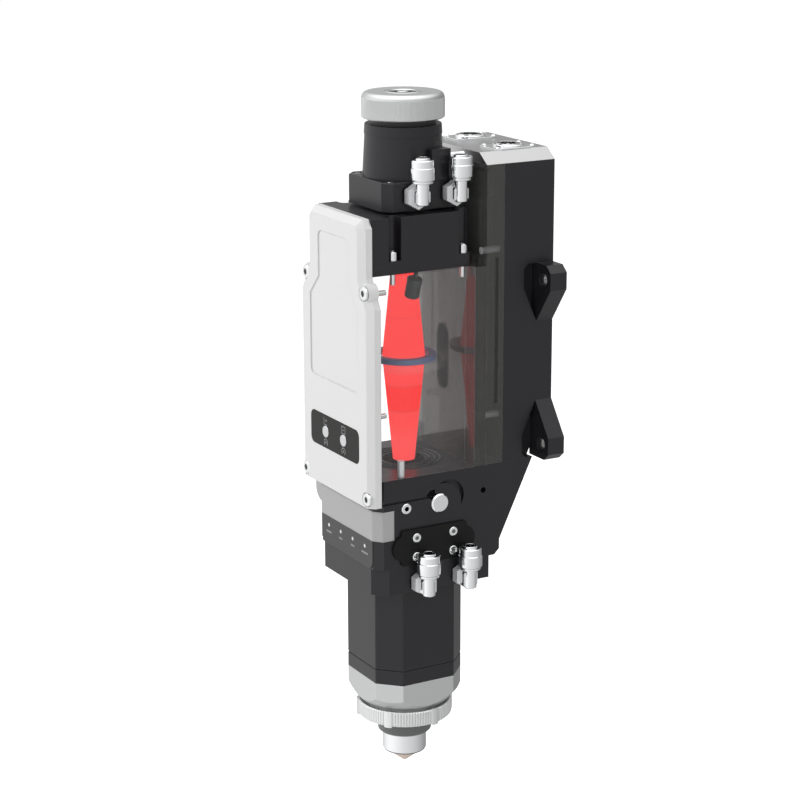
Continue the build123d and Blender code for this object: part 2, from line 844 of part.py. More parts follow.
# Collimator block: deep screw slots in its sides, open at the top
lens_seat_z = chamber_top + collimating_rise
with BuildPart() as collimator_block:
    with Locations((0, -block_front, chamber_top)):
        Box(
            2 * collimator_half, block_front + chamber_back, collimator_h,
            align=(Align.CENTER, Align.MIN, Align.MIN),
        )
    chamfer(collimator_block.edges().filter_by(Axis.Z).group_by(Axis.Y)[-1], seam_edge * 2)
    with Locations((0, 0, chamber_top)):
        Cylinder(collimating_r - collimating_edge / 2, collimator_h, align=bottom_up, mode=Mode.SUBTRACT)
    with Locations((0, 0, lens_seat_z)):
        Cylinder(collimating_r + fit, collimator_h, align=bottom_up, mode=Mode.SUBTRACT)
    for side in (-1, 1):
        for y in slot_ys:
            with BuildSketch(Plane.XY.offset(chamber_top + slot_rise)):
                with Locations((side * slot_x, y)):
                    Circle(slot_w / 2)
                with Locations((side * (slot_x + slot_w), y)):
                    Rectangle(2 * slot_w, slot_w)
            extrude(amount=collimator_h, mode=Mode.SUBTRACT)
    with Locations(*[(x, y, chamber_top) for x in slot_xs for y in slot_ys]):
        Cylinder(m3_r, slot_rise, align=bottom_up, mode=Mode.SUBTRACT)
keep(collimator_block.part, "collimator_block")

with BuildPart() as collimator_screws:
    with Locations(*[(x, y, chamber_top + slot_rise) for x in slot_xs for y in slot_ys]):
        add(socket_screw(m3_head_r, block_screw_head_h, m3_r, block_screw_l))
keep(collimator_screws.part, "collimator_screws")

with BuildPart() as collimating_lens:
    with Locations((0, 0, lens_seat_z + collimating_edge / 2 + collimating_sink)):
        add(lens(collimating_r, collimating_edge, lens_bulge))
keep(collimating_lens.part, "collimating_lens")

with BuildPart() as lens_retainer:
    with Locations((0, 0, lens_seat_z + collimating_edge + 2 * collimating_sink)):
        Cylinder(collimating_r, retainer_h, align=bottom_up)
        Cylinder(collimating_r - collimating_edge / 2, retainer_h, align=bottom_up, mode=Mode.SUBTRACT)
keep(lens_retainer.part, "lens_retainer")

# Rubber stop that hangs under the collimator block
with BuildPart() as carriage_stop:
    with Locations((stop_x, stop_y, chamber_top)):
        Cylinder(stop_r, stop_l, align=top_down)
    chamfer(carriage_stop.faces().sort_by(Axis.Z)[0].edges(), seam_edge)
keep(carriage_stop.part, "carriage_stop")

# Fibre flange on a low round step, corners cut, one screw in each corner
flange_screw_places = [
    (x, y, flange_top) for x in (-flange_screw_x, flange_screw_x) for y in (-flange_screw_y, flange_screw_y)
]
with BuildPart() as fibre_flange:
    with BuildSketch(Plane.XY.offset(flange_z)):
        outline = Rectangle(2 * flange_half_x, 2 * flange_half_y)
        chamfer(outline.vertices(), flange_corner)
    extrude(amount=flange_h)
    chamfer(fibre_flange.faces().sort_by(Axis.Z)[-1].edges(), seam_edge)
    with Locations((0, 0, collimator_top)):
        Cylinder(flange_step_r, flange_step_h, align=bottom_up)
        Cylinder(flange_bore_r, flange_step_h + flange_h, align=bottom_up, mode=Mode.SUBTRACT)
    with Locations(*flange_screw_places):
        CounterBoreHole(m3_r, m3_head_r + play, m3_head_h + play)
    with Locations(*[facing_right(flange_half_x, y, flange_z + upper_elbow_rise) for y in upper_elbow_y]):
        Cylinder(spot_r, spot_d, align=top_down, mode=Mode.SUBTRACT)
        Cylinder(thread_r, thread_l, align=top_down, mode=Mode.SUBTRACT)
keep(fibre_flange.part, "fibre_flange")

with BuildPart() as flange_screws:
    with Locations(*[(x, y, flange_top - m3_head_h - play) for x, y, top in flange_screw_places]):
        add(socket_screw(m3_head_r, m3_head_h, m3_r, flange_h - m3_head_h - play))
keep(flange_screws.part, "flange_screws")

# Tapered sleeve with a rim round its upper band, and the neck that the cap turns on
neck_top = cap_top - cap_roof
sleeve_bore_r = flange_bore_r
band_z = sleeve_top - sleeve_band_h
band_r = sleeve_top_r + (sleeve_foot_r - sleeve_top_r) * sleeve_band_h / sleeve_h
cap_inner_r = cap_r - cap_wall
with BuildPart() as fibre_sleeve:
    turned(
        (sleeve_bore_r, flange_top), (sleeve_foot_r, flange_top), (band_r, band_z),
        (band_r + sleeve_rim, band_z), (sleeve_top_r + sleeve_rim, sleeve_top - sleeve_rim),
        (sleeve_top_r, sleeve_top), (neck_r, sleeve_top), (neck_r, cap_z),
        (cap_inner_r - play, cap_z), (cap_inner_r - play, neck_top), (sleeve_bore_r, neck_top),
    )
keep(fibre_sleeve.part, "fibre_sleeve")

# Knurled fibre cap
with BuildPart() as fibre_cap:
    turned(
        (cap_inner_r, cap_z), (cap_r - ring_edge, cap_z), (cap_r, cap_z + ring_edge),
        (cap_r, cap_top), (cap_recess_r, cap_top), (cap_recess_r, cap_top - cap_recess_d),
        (cap_bore_r, cap_top - cap_recess_d), (cap_bore_r, neck_top), (cap_inner_r, neck_top),
    )
    rim = fibre_cap.edges().filter_by(GeomType.CIRCLE).sort_by(Axis.Z).group_by(Axis.Z)[-1]
    fillet(rim.sort_by(SortBy.RADIUS)[-1], cap_round)
    grip(cap_r, cap_z, cap_h - cap_round, cap_grooves)
keep(fibre_cap.part, "fibre_cap")

# Interlock switch block against the sleeve, with its plated contact pin
pin_z = flange_top + latch_h - latch_pin_drop
with BuildPart() as interlock_block:
    with Locations((0, latch_y, flange_top)):
        Box(latch_x, latch_w, latch_h, align=(Align.MIN, Align.MIN, Align.MIN))
    turned(
        (0, flange_top), (sleeve_foot_r, flange_top), (band_r, band_z), (0, band_z),
        mode=Mode.SUBTRACT,
    )
    with Locations(facing_back(latch_pin_x, latch_y + latch_w, pin_z)):
        Cylinder(latch_pin_r, latch_w / 4, align=top_down, mode=Mode.SUBTRACT)
keep(interlock_block.part, "interlock_block")

with BuildPart() as interlock_pin:
    with Locations(facing_back(latch_pin_x, latch_y + latch_w, pin_z)):
        Cylinder(latch_pin_r, latch_w / 4, align=top_down)
        Cylinder(latch_pin_r, latch_pin_l, align=bottom_up)
    chamfer(interlock_pin.faces().sort_by(Axis.Y)[-1].edges(), seam_edge)
keep(interlock_pin.part, "interlock_pin")


# The cover's outline in the front view, narrower above its shoulders
def cover_outline():
    high = cover_half_high
    with BuildLine() as outline:
        Polyline(
            (-cover_half_low, cover_z), (-cover_half_low, shoulder_low), (-high, shoulder_high),
            (-high, cover_top - cover_corner_z), (-high + cover_corner_x, cover_top),
            (high - cover_corner_x, cover_top), (high, cover_top - cover_corner_z),
            (high, shoulder_high), (cover_half_low, shoulder_low), (cover_half_low, cover_z),
            close=True,
        )
    make_face(outline.edges())


cover_depth = cover_front - block_front
cover_screw_places = [
    (side * x, z) for side in (-1, 1) for x, z in (cover_screw_low, cover_screw_high)
]
high_screw_places = [(side * cover_screw_high[0], cover_screw_high[1]) for side in (-1, 1)]

# White front cover: a shallow hollow tray with bevelled edges and a sunk panel
with BuildPart() as front_cover:
    with BuildSketch(facing_front(0, -block_front, 0)):
        cover_outline()
    extrude(amount=cover_depth)
    face_edges = front_cover.faces().sort_by(Axis.Y)[0].edges()
    chamfer(face_edges.sort_by(Axis.Z)[1:], cover_bevel)
    with BuildSketch(facing_front(0, -block_front, 0)):
        with Locations(*high_screw_places):
            Circle(boss_r)
    extrude(amount=cover_depth - cover_bevel / 2)
    with BuildSketch(facing_front(0, -block_front, 0)):
        cover_outline()
        offset(amount=-cover_wall, kind=Kind.INTERSECTION)
        with Locations(*high_screw_places):
            Circle(boss_r - lobe_wall)
    extrude(amount=cover_depth - cover_wall, mode=Mode.SUBTRACT)
    with Locations(*[facing_front(x, -cover_front + cover_screw_drop, z) for x, z in cover_screw_places]):
        Cylinder(cover_screw_r + play, cover_screw_drop, align=bottom_up, mode=Mode.SUBTRACT)
        Cylinder(m3_r + fit, cover_depth, align=top_down, mode=Mode.SUBTRACT)
    with BuildSketch(facing_front(0, -cover_front, 0)):
        with BuildLine():
            Polyline(
                (-recess_half_low, recess_bottom), (-recess_half_low, recess_wide),
                (-recess_half_high, recess_neck), (-recess_half_high, recess_top),
                (recess_half_high, recess_top), (recess_half_high, recess_neck),
                (recess_half_low, recess_wide), (recess_half_low, recess_bottom), close=True,
            )
        make_face()
        fillet(vertices().group_by(Axis.Y)[-1] + vertices().group_by(Axis.Y)[0], recess_round)
    extrude(amount=-recess_depth, mode=Mode.SUBTRACT)
    with BuildSketch(facing_front(0, -cover_front, 0)):
        with Locations((0, (panel_z + panel_top) / 2)):
            RectangleRounded(2 * panel_half, panel_top - panel_z, panel_round)
    extrude(amount=-(panel_wall - panel_proud), mode=Mode.SUBTRACT)
    button_z = (panel_z + panel_top) / 2
    with Locations(*[facing_front(x, -cover_front, button_z) for x in (-button_x, button_x)]):
        Cylinder(button_r + play, cover_wall, align=top_down, mode=Mode.SUBTRACT)
keep(front_cover.part, "front_cover")

cover_screw = socket_screw(
    cover_screw_r, cover_screw_h, m3_r, cover_depth - cover_screw_drop,
)
with BuildPart() as cover_screws:
    with Locations(*[facing_front(x, -cover_front + cover_screw_drop, z) for x, z in cover_screw_places]):
        add(cover_screw)
keep(cover_screws.part, "cover_screws")

# Black carrier plate inside the cover, screwed to the chamber
with BuildPart() as front_frame:
    with BuildSketch(facing_front(0, -block_front, 0)):
        cover_outline()
        offset(amount=-cover_wall - play, kind=Kind.INTERSECTION)
        with Locations(*high_screw_places):
            Circle(boss_r - lobe_wall - play)
    extrude(amount=frame_wall)
    with Locations(*[facing_front(x, -block_front, z) for x, z in cover_screw_places]):
        Cylinder(m3_r, frame_wall, align=bottom_up, mode=Mode.SUBTRACT)
    with Locations(*[
        facing_front(x, -block_front, z) for x in (-frame_screw_x, frame_screw_x) for z in frame_screw_z
    ]):
        Cylinder(m3_r, frame_wall, align=bottom_up, mode=Mode.SUBTRACT)
keep(front_frame.part, "front_frame")

frame_screw = socket_screw(m3_head_r, m4_head_h, m3_r, frame_screw_l)
with BuildPart() as frame_screws:
    with Locations(*[
        facing_front(x, -block_front - frame_wall, z)
        for x in (-frame_screw_x, frame_screw_x) for z in frame_screw_z
    ]):
        add(frame_screw)
keep(frame_screws.part, "frame_screws")

# Control panel film and its two push buttons over the switch board
panel_face = cover_front + panel_proud
with BuildPart() as control_panel:
    with BuildSketch(facing_front(0, -panel_face, 0)):
        with Locations((0, button_z)):
            RectangleRounded(2 * (panel_half - fit), panel_top - panel_z - 2 * fit, panel_round)
        with Locations((-button_x, button_z), (button_x, button_z)):
            Circle(button_r + play, mode=Mode.SUBTRACT)
    extrude(amount=-panel_wall)
keep(control_panel.part, "control_panel")

for side, name in ((-1, "button_left"), (1, "button_right")):
    with BuildPart() as button:
        with Locations(facing_front(side * button_x, -cover_front + cover_wall + fit, button_z)):
            Cylinder(button_r + 2 * play, button_flange, align=top_down)
            Cylinder(button_r, panel_proud + button_proud + cover_wall + fit, align=bottom_up)
        chamfer(button.faces().sort_by(Axis.Y)[0].edges(), play)
    keep(button.part, name)

with BuildPart() as control_board:
    with BuildSketch(facing_front(0, -block_front - frame_wall, 0)):
        with Locations((0, button_z)):
            Rectangle(2 * board_half, panel_top - panel_z)
    extrude(amount=board_wall)
keep(control_board.part, "control_board")

# Smoked front half of the rear housing, a tray that opens to the back
rear_stud_places = [
    (side * rear_stud_x, block_top + rear_stud_rise + rear_stud_pitch * i)
    for side in (-1, 1) for i in (0, 1)
]
with BuildPart() as rear_front_frame:
    with BuildSketch(facing_back(0, rear_front, block_top)):
        Rectangle(2 * block_half, rear_h, align=(Align.CENTER, Align.MIN))
    extrude(amount=rear_split - rear_front)
    with BuildSketch(facing_back(0, rear_front + rear_front_wall, cavity_z)):
        Rectangle(2 * cavity_half, cavity_top - cavity_z, align=(Align.CENTER, Align.MIN))
    extrude(amount=rear_split - rear_front - rear_front_wall, mode=Mode.SUBTRACT)
    arm_slot(rear_front, rear_front_wall)
    with Locations(*[facing_back(x, rear_front, z) for x, z in rear_stud_places]):
        Cylinder(stud_r, rear_split - rear_front, align=bottom_up, mode=Mode.SUBTRACT)
keep(rear_front_frame.part, "rear_front_frame")

# Rear housing with a sloped foot and two lugs on each side
lug_zs = (lug_centre_z - lug_pitch_z / 2, lug_centre_z + lug_pitch_z / 2)
with BuildPart() as rear_housing:
    with BuildSketch(facing_back(0, rear_split, block_top)):
        Rectangle(2 * block_half, rear_h, align=(Align.CENTER, Align.MIN))
    extrude(amount=rear_back - rear_split)
    with BuildSketch(Plane.YZ.offset(-block_half)):
        with BuildLine():
            Polyline(
                (tail_top, block_top), (rear_back, block_top + (rear_back - tail_top) / tail_lean),
                (rear_back, block_top), close=True,
            )
        make_face()
    extrude(amount=2 * block_half, mode=Mode.SUBTRACT)
    # the cavity, with a shelf across it that carries the motor
    for foot, head in ((cavity_z, motor_z - motor_shelf_h), (motor_z, cavity_top)):
        with BuildSketch(facing_back(0, rear_split, foot)):
            Rectangle(2 * cavity_half, head - foot, align=(Align.CENTER, Align.MIN))
        extrude(amount=rear_back - rear_split - rear_back_wall, mode=Mode.SUBTRACT)
    with Locations((0, screw_axis_y, motor_z)):
        Cylinder(screw_r + play, motor_shelf_h, align=top_down, mode=Mode.SUBTRACT)
    for side in (-1, 1):
        for up, hole_z in ((-1, lug_zs[0]), (1, lug_zs[1])):
            tip_z = hole_z - up * (lug_flat / 2 + lug_taper)
            reach_x = side * (block_half + lug_reach)
            # the notch that lets a driver reach the lug's screw
            with BuildSketch(Plane.YZ.offset(side * block_half)):
                with BuildLine():
                    Polyline(
                        (lug_front, tip_z), (lug_front - notch_w, hole_z - up * lug_flat / 2),
                        (lug_front - notch_w, hole_z + up * (lug_above - notch_edge)),
                        (lug_front - notch_w + notch_edge, hole_z + up * lug_above),
                        (lug_front, hole_z + up * lug_above), close=True,
                    )
                make_face()
            extrude(amount=-side * notch_d, mode=Mode.SUBTRACT)
            with BuildSketch(facing_front(0, lug_front, 0)):
                with BuildLine():
                    Polyline(
                        (side * (block_half - notch_d), tip_z), (side * block_half, tip_z),
                        (reach_x, hole_z - up * lug_flat / 2), (reach_x, hole_z + up * lug_flat / 2),
                        (reach_x - side * lug_edge, hole_z + up * lug_above),
                        (side * (block_half - notch_d), hole_z + up * lug_above), close=True,
                    )
                make_face()
            extrude(amount=-(rear_back - lug_front))
    with Locations(*[facing_front(x, lug_front, z) for x in (-lug_hole_x, lug_hole_x) for z in lug_zs]):
        Cylinder(lug_hole_r, rear_back - lug_front, align=top_down, mode=Mode.SUBTRACT)
    with Locations(*[facing_back(x, rear_split, z) for x, z in rear_stud_places]):
        Cylinder(stud_r, stud_l - rear_split + rear_front, align=bottom_up, mode=Mode.SUBTRACT)
keep(rear_housing.part, "rear_housing")

# Plain studs that join the chamber to the lower block and the two rear halves
with BuildPart() as body_studs:
    with Locations(*[(x, y, block_top + stud_rise) for x in stud_xs for y in stud_ys]):
        Cylinder(stud_r, stud_l, align=top_down)
    with Locations(*[facing_back(x, rear_front, z) for x, z in rear_stud_places]):
        Cylinder(stud_r, stud_l, align=bottom_up)
keep(body_studs.part, "body_studs")

# Plated top plate, bevelled over its +X edge
connector_places = [(x, y, rear_top + top_plate_h) for x, y in (connector_right, connector_left)]
with BuildPart() as top_plate:
    with BuildSketch(facing_back(0, rear_front, rear_top)):
        with BuildLine():
            Polyline(
                (block_half, 0), (-block_half, 0), (-block_half + top_bevel, top_plate_h),
                (block_half, top_plate_h), close=True,
            )
        make_face()
    extrude(amount=rear_back - rear_front)
    with Locations(*connector_places):
        Cylinder(connector_bore_r, top_plate_h / 2, align=top_down, mode=Mode.SUBTRACT)
keep(top_plate.part, "top_plate")

# Two round connectors on square flanges, with pins in an insulating insert
with BuildPart() as connector_shells:
    with Locations(*connector_places):
        Box(2 * connector_half, 2 * connector_half, connector_flange_h, align=bottom_up)
        Cylinder(connector_r, connector_flange_h + connector_h, align=bottom_up)
        Cylinder(connector_bore_r, connector_flange_h + connector_h, align=bottom_up, mode=Mode.SUBTRACT)
keep(connector_shells.part, "connector_shells")

with BuildPart() as connector_inserts:
    with Locations(*[(x, y, z - top_plate_h / 2) for x, y, z in connector_places]):
        Cylinder(connector_bore_r, top_plate_h / 2, align=bottom_up)
    with Locations(*connector_places):
        with PolarLocations(pin_circle_r, pin_count):
            Cylinder(pin_r, connector_h, align=bottom_up)
keep(connector_inserts.part, "connector_inserts")

# Push-in elbow fittings: a fixed hex, an elbow that swivels on it and a release ring
barrel_start = hex_stand + hex_l + elbow_slit
tube_x = barrel_start + elbow_barrel_l / 2
socket_top = elbow_tube_h + elbow_socket_h


# The hex stands on +Z with its seat at the origin
def elbow_hex():
    with BuildPart() as piece:
        Cylinder(thread_r, thread_l, align=top_down)
        Cylinder(thread_r, hex_stand, align=bottom_up)
        with BuildSketch(Plane.XY.offset(hex_stand)):
            RegularPolygon(hex_flats / 2, 6, major_radius=False, rotation=30)
        extrude(amount=hex_l)
        with Locations((0, 0, hex_stand + hex_l)):
            Cylinder(elbow_neck_r, elbow_slit + elbow_neck_l, align=bottom_up)
    return piece.part


def elbow_body(x, y, z):
    with BuildPart() as piece:
        with Locations(facing_right(x + barrel_start, y, z)):
            Cylinder(elbow_barrel_r, elbow_barrel_l, align=bottom_up)
        chamfer(piece.faces().sort_by(Axis.X)[-1].edges(), elbow_barrel_r / 5)
        with Locations((x + tube_x, y, z)):
            Cylinder(elbow_tube_r, elbow_tube_h, align=bottom_up)
        with Locations((x + tube_x, y, z + elbow_tube_h)):
            Cylinder(elbow_socket_r, elbow_socket_h, align=bottom_up)
        rims = piece.edges().filter_by(GeomType.CIRCLE).filter_by(lambda e: abs(e.radius - elbow_socket_r) < fit)
        chamfer(rims, elbow_groove * 2)
        with Locations((x + tube_x, y, z + elbow_tube_h + elbow_floor)):
            Cylinder(release_r + play, elbow_socket_h, align=bottom_up, mode=Mode.SUBTRACT)
        with Locations((x + tube_x, y, z)):
            Cylinder(elbow_bore_r, elbow_tube_h + elbow_floor, align=bottom_up, mode=Mode.SUBTRACT)
        with Locations(facing_right(x + barrel_start, y, z)):
            Cylinder(elbow_neck_r + play, elbow_neck_l + play, align=bottom_up, mode=Mode.SUBTRACT)
        for share in (0.25, 0.75):
            with Locations((x + tube_x, y, z + elbow_tube_h + elbow_socket_h * share)):
                Torus(elbow_socket_r, elbow_groove, mode=Mode.SUBTRACT)
    return piece.part


def elbow_release(x, y, z):
    with BuildPart() as piece:
        with Locations((x + tube_x, y, z + socket_top + release_gap)):
            Cylinder(release_r, elbow_socket_h - elbow_floor, align=top_down)
        with Locations((x + tube_x, y, z + socket_top + release_gap)):
            Cylinder(release_rim_r, release_rim_h, align=bottom_up)
        with Locations((x + tube_x, y, z)):
            Cylinder(elbow_hose_r, socket_top + release_gap + release_rim_h, align=bottom_up, mode=Mode.SUBTRACT)
    return piece.part


elbows = {
    "upper_elbow_front": (flange_half_x, upper_elbow_y[0], flange_z + upper_elbow_rise),
    "upper_elbow_rear": (flange_half_x, upper_elbow_y[1], flange_z + upper_elbow_rise),
    "lower_elbow_front": (block_half, lower_elbow_y[0], block_z + lower_elbow_rise),
    "lower_elbow_rear": (block_half, lower_elbow_y[1], block_z + lower_elbow_rise),
}
for name, place in elbows.items():
    keep(elbow_body(*place), name)
    keep(elbow_release(*place), name + "_release")

with BuildPart() as elbow_hexes:
    with Locations(*[facing_right(*place) for place in elbows.values()]):
        add(elbow_hex())
keep(elbow_hexes.part, "elbow_hexes")
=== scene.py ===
import bpy
import bmesh
import json
from math import cos, pi, radians, sin
from mathutils import Matrix, Vector


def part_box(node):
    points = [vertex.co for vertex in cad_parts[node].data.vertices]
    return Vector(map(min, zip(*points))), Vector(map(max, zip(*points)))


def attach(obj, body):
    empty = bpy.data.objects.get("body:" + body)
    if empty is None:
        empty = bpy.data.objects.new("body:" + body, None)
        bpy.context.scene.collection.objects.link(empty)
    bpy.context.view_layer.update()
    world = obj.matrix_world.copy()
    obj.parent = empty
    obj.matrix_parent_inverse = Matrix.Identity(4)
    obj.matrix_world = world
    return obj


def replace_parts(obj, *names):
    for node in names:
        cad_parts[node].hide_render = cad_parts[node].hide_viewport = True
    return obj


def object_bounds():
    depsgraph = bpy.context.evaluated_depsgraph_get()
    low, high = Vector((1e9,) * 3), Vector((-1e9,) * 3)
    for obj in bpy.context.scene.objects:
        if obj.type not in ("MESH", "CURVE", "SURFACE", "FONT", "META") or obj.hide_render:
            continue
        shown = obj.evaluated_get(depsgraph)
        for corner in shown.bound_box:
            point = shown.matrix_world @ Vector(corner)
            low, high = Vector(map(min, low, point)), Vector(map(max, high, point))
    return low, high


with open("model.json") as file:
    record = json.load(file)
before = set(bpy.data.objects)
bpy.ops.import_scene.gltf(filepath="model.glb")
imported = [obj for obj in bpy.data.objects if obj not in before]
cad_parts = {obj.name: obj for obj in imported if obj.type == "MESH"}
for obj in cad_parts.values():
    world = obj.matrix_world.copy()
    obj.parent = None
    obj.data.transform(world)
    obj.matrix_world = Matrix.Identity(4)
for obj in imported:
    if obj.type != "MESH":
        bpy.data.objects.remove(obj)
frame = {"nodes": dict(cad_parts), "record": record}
cadLow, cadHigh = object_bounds()
cadNodes = frame["nodes"]
mm = 0.001
print("frame loaded with", len(cadNodes), "nodes")


# Node helpers

# Gives a socket a value, or a link from another node
def feed(tree, socket, value):
    if isinstance(value, bpy.types.NodeSocket):
        tree.links.new(value, socket)
    else:
        socket.default_value = value


def addNode(tree, kind, settings=None, **inputs):
    node = tree.nodes.new(kind)
    for key, value in (settings or {}).items():
        setattr(node, key, value)
    for name, value in inputs.items():
        feed(tree, node.inputs[name.replace("_", " ")], value)
    return node


def mathNode(tree, operation, first, second=0.5, clamp=False):
    node = addNode(tree, "ShaderNodeMath", {"operation": operation, "use_clamp": clamp})
    feed(tree, node.inputs[0], first)
    feed(tree, node.inputs[1], second)
    return node.outputs[0]


def dotNode(tree, first, second):
    node = addNode(tree, "ShaderNodeVectorMath", {"operation": "DOT_PRODUCT"})
    feed(tree, node.inputs[0], first)
    feed(tree, node.inputs[1], second)
    return node.outputs["Value"]


# A colour's four channels, from three or from one grey
def paint(shade):
    return (*shade, 1.0) if isinstance(shade, tuple) else (shade, shade, shade, 1.0)


def mixNode(tree, factor, first, second, blendType="MIX"):
    node = addNode(tree, "ShaderNodeMix", {"data_type": "RGBA", "blend_type": blendType}, Factor=factor)
    for name, colour in (("A", first), ("B", second)):
        isLink = isinstance(colour, bpy.types.NodeSocket)
        feed(tree, node.inputs[name], colour if isLink else paint(colour))
    return node.outputs["Result"]


def objectPlace(tree):
    return tree.nodes.new("ShaderNodeTexCoord").outputs["Object"]


socketKinds = {float: "Float", int: "Int", tuple: "Vector", type(None): "Material"}


# A node tree with named inputs, whose kinds follow their values, and named outputs
def newTree(kind, name, inputs, outputs):
    tree = bpy.data.node_groups.new(name, kind)
    for label, value in inputs.items():
        socketType = "NodeSocket" + socketKinds[type(value)]
        socket = tree.interface.new_socket(label, in_out="INPUT", socket_type=socketType)
        if value is not None:
            socket.default_value = value
    for label, socketKind in outputs.items():
        tree.interface.new_socket(label, in_out="OUTPUT", socket_type="NodeSocket" + socketKind)
    return tree, tree.nodes.new("NodeGroupInput").outputs, tree.nodes.new("NodeGroupOutput").inputs


# Fine blasted grain and slow clouding, for anodised and painted metal
def grainGroup():
    group, given, result = newTree(
        "ShaderNodeTree", "surfaceGrain",
        {"Scale": 900.0, "Cloud Scale": 18.0, "Roughness": 0.4, "Spread": 0.08, "Fine Share": 0.4,
         "Cloud Share": 0.6},
        {"Tint": "Float", "Roughness": "Float", "Height": "Float"},
    )
    place = objectPlace(group)
    fine = addNode(group, "ShaderNodeTexNoise", Detail=3.0, Roughness=0.6, Vector=place, Scale=given["Scale"])
    cloud = addNode(group, "ShaderNodeTexNoise", Detail=2.0, Roughness=0.5, Vector=place,
                    Scale=given["Cloud Scale"])
    blend = mathNode(group, "ADD", mathNode(group, "MULTIPLY", fine.outputs["Fac"], given["Fine Share"]),
                     mathNode(group, "MULTIPLY", cloud.outputs["Fac"], given["Cloud Share"]))
    offset = mathNode(group, "MULTIPLY", mathNode(group, "SUBTRACT", blend, 0.5), given["Spread"])
    feed(group, result["Tint"], blend)
    feed(group, result["Roughness"], mathNode(group, "ADD", given["Roughness"], offset, True))
    feed(group, result["Height"], fine.outputs["Fac"])
    return group


# Rounded edges in the shading, and a mask along the edges, broken up by noise, where each finish lays its
# painted edge colour: painted highlights on most finishes, painted dark outlines of shade on a few
def edgeGroup():
    group, given, result = newTree(
        "ShaderNodeTree", "paintedEdgeLight", {"Radius": 0.0004, "Gain": 3.0, "Breakup": 160.0},
        {"Mask": "Float", "Normal": "Vector"},
    )
    soft = addNode(group, "ShaderNodeBevel", {"samples": 6}, Radius=given["Radius"]).outputs["Normal"]
    flat = group.nodes.new("ShaderNodeNewGeometry").outputs["Normal"]
    turned = mathNode(group, "SUBTRACT", 1.0, dotNode(group, soft, flat))
    edgeBreakup = addNode(group, "ShaderNodeTexNoise", Detail=4.0, Vector=objectPlace(group),
                    Scale=given["Breakup"])
    gained = mathNode(group, "MULTIPLY", turned, given["Gain"])
    feed(group, result["Mask"], mathNode(group, "MULTIPLY", gained, edgeBreakup.outputs["Fac"], True))
    feed(group, result["Normal"], soft)
    return group


# Lathe marks: fine rings across the turning axis, broken up by noise
def latheGroup():
    group, given, result = newTree(
        "ShaderNodeTree", "latheMarks", {"Pitch": 0.0003, "Axis": (0.0, 0.0, 1.0), "Streak Pace": 0.37},
        {"Height": "Float", "Streak": "Float"},
    )
    turns = mathNode(group, "DIVIDE", dotNode(group, objectPlace(group), given["Axis"]), given["Pitch"])
    wave = mathNode(group, "SINE", mathNode(group, "MULTIPLY", turns, 2 * pi))
    streak = addNode(group, "ShaderNodeTexNoise", {"noise_dimensions": "1D"}, Scale=1.0, Detail=3.0,
                     W=mathNode(group, "MULTIPLY", turns, given["Streak Pace"]))
    feed(group, result["Height"], mathNode(group, "MULTIPLY", mathNode(group, "ADD", wave, 1.0), 0.5))
    feed(group, result["Streak"], streak.outputs["Fac"])
    return group


grain, edges, lathe = grainGroup(), edgeGroup(), latheGroup()


# A material with a Principled shader whose sockets take fixed values
def newMaterial(name, sockets):
    material = bpy.data.materials.new(name)
    material.use_nodes = True
    shader = material.node_tree.nodes["Principled BSDF"]
    for key, value in sockets.items():
        shader.inputs[key].default_value = value
    return material, material.node_tree, shader


# What a finish has where its own look says nothing else; lengths in metres
usualLook = {"grain": 900.0, "cloud": 18.0, "spread": 0.1, "bump": 0.15, "relief": 0.00003, "round": 0.0004,
             "gain": 3.0, "sockets": {}}
streakLook = {"share": 0.35, "low": 0.7, "high": 1.1, "noiseLow": 0.3, "noiseHigh": 0.7}


# One finish: a Principled shader with grain and, where its look says so, lathe marks and painted edge light and
# shade
def makeFinish(name, ownValues):
    look = {**usualLook, **ownValues}
    material, tree, shader = newMaterial(name, look["sockets"])
    skin = addNode(tree, "ShaderNodeGroup", {"node_tree": grain}, Scale=look["grain"],
                   Cloud_Scale=look["cloud"], Roughness=look["roughness"], Spread=look["spread"]).outputs
    colour = mixNode(tree, skin["Tint"], look["dark"], look["light"])
    height = skin["Height"]
    if "pitch" in look:
        rings = addNode(tree, "ShaderNodeGroup", {"node_tree": lathe}, Pitch=look["pitch"]).outputs
        tone = addNode(tree, "ShaderNodeMapRange", Value=rings["Streak"], From_Min=streakLook["noiseLow"],
                       From_Max=streakLook["noiseHigh"], To_Min=streakLook["low"], To_Max=streakLook["high"])
        colour = mixNode(tree, streakLook["share"], colour, tone.outputs["Result"], "MULTIPLY")
        height = mathNode(tree, "ADD", height, rings["Height"])
    bump = addNode(tree, "ShaderNodeBump", Strength=look["bump"], Distance=look["relief"], Height=height)
    # Painted edge light and shade: the look's edge colour is laid along the rounded edges
    if "paintedEdge" in look:
        edgePainting = addNode(tree, "ShaderNodeGroup", {"node_tree": edges}, Radius=look["round"],
                       Gain=look["gain"]).outputs
        colour = mixNode(tree, edgePainting["Mask"], colour, look["paintedEdge"])
        feed(tree, bump.inputs["Normal"], edgePainting["Normal"])
        if "clearEdge" in look:
            veil = addNode(tree, "ShaderNodeMapRange", To_Min=look["sockets"]["Alpha"],
                           To_Max=look["clearEdge"], Value=edgePainting["Mask"])
            feed(tree, shader.inputs["Alpha"], veil.outputs["Result"])
    feed(tree, shader.inputs["Roughness"], skin["Roughness"])
    feed(tree, shader.inputs["Base Color"], colour)
    feed(tree, shader.inputs["Normal"], bump.outputs["Normal"])
    return material


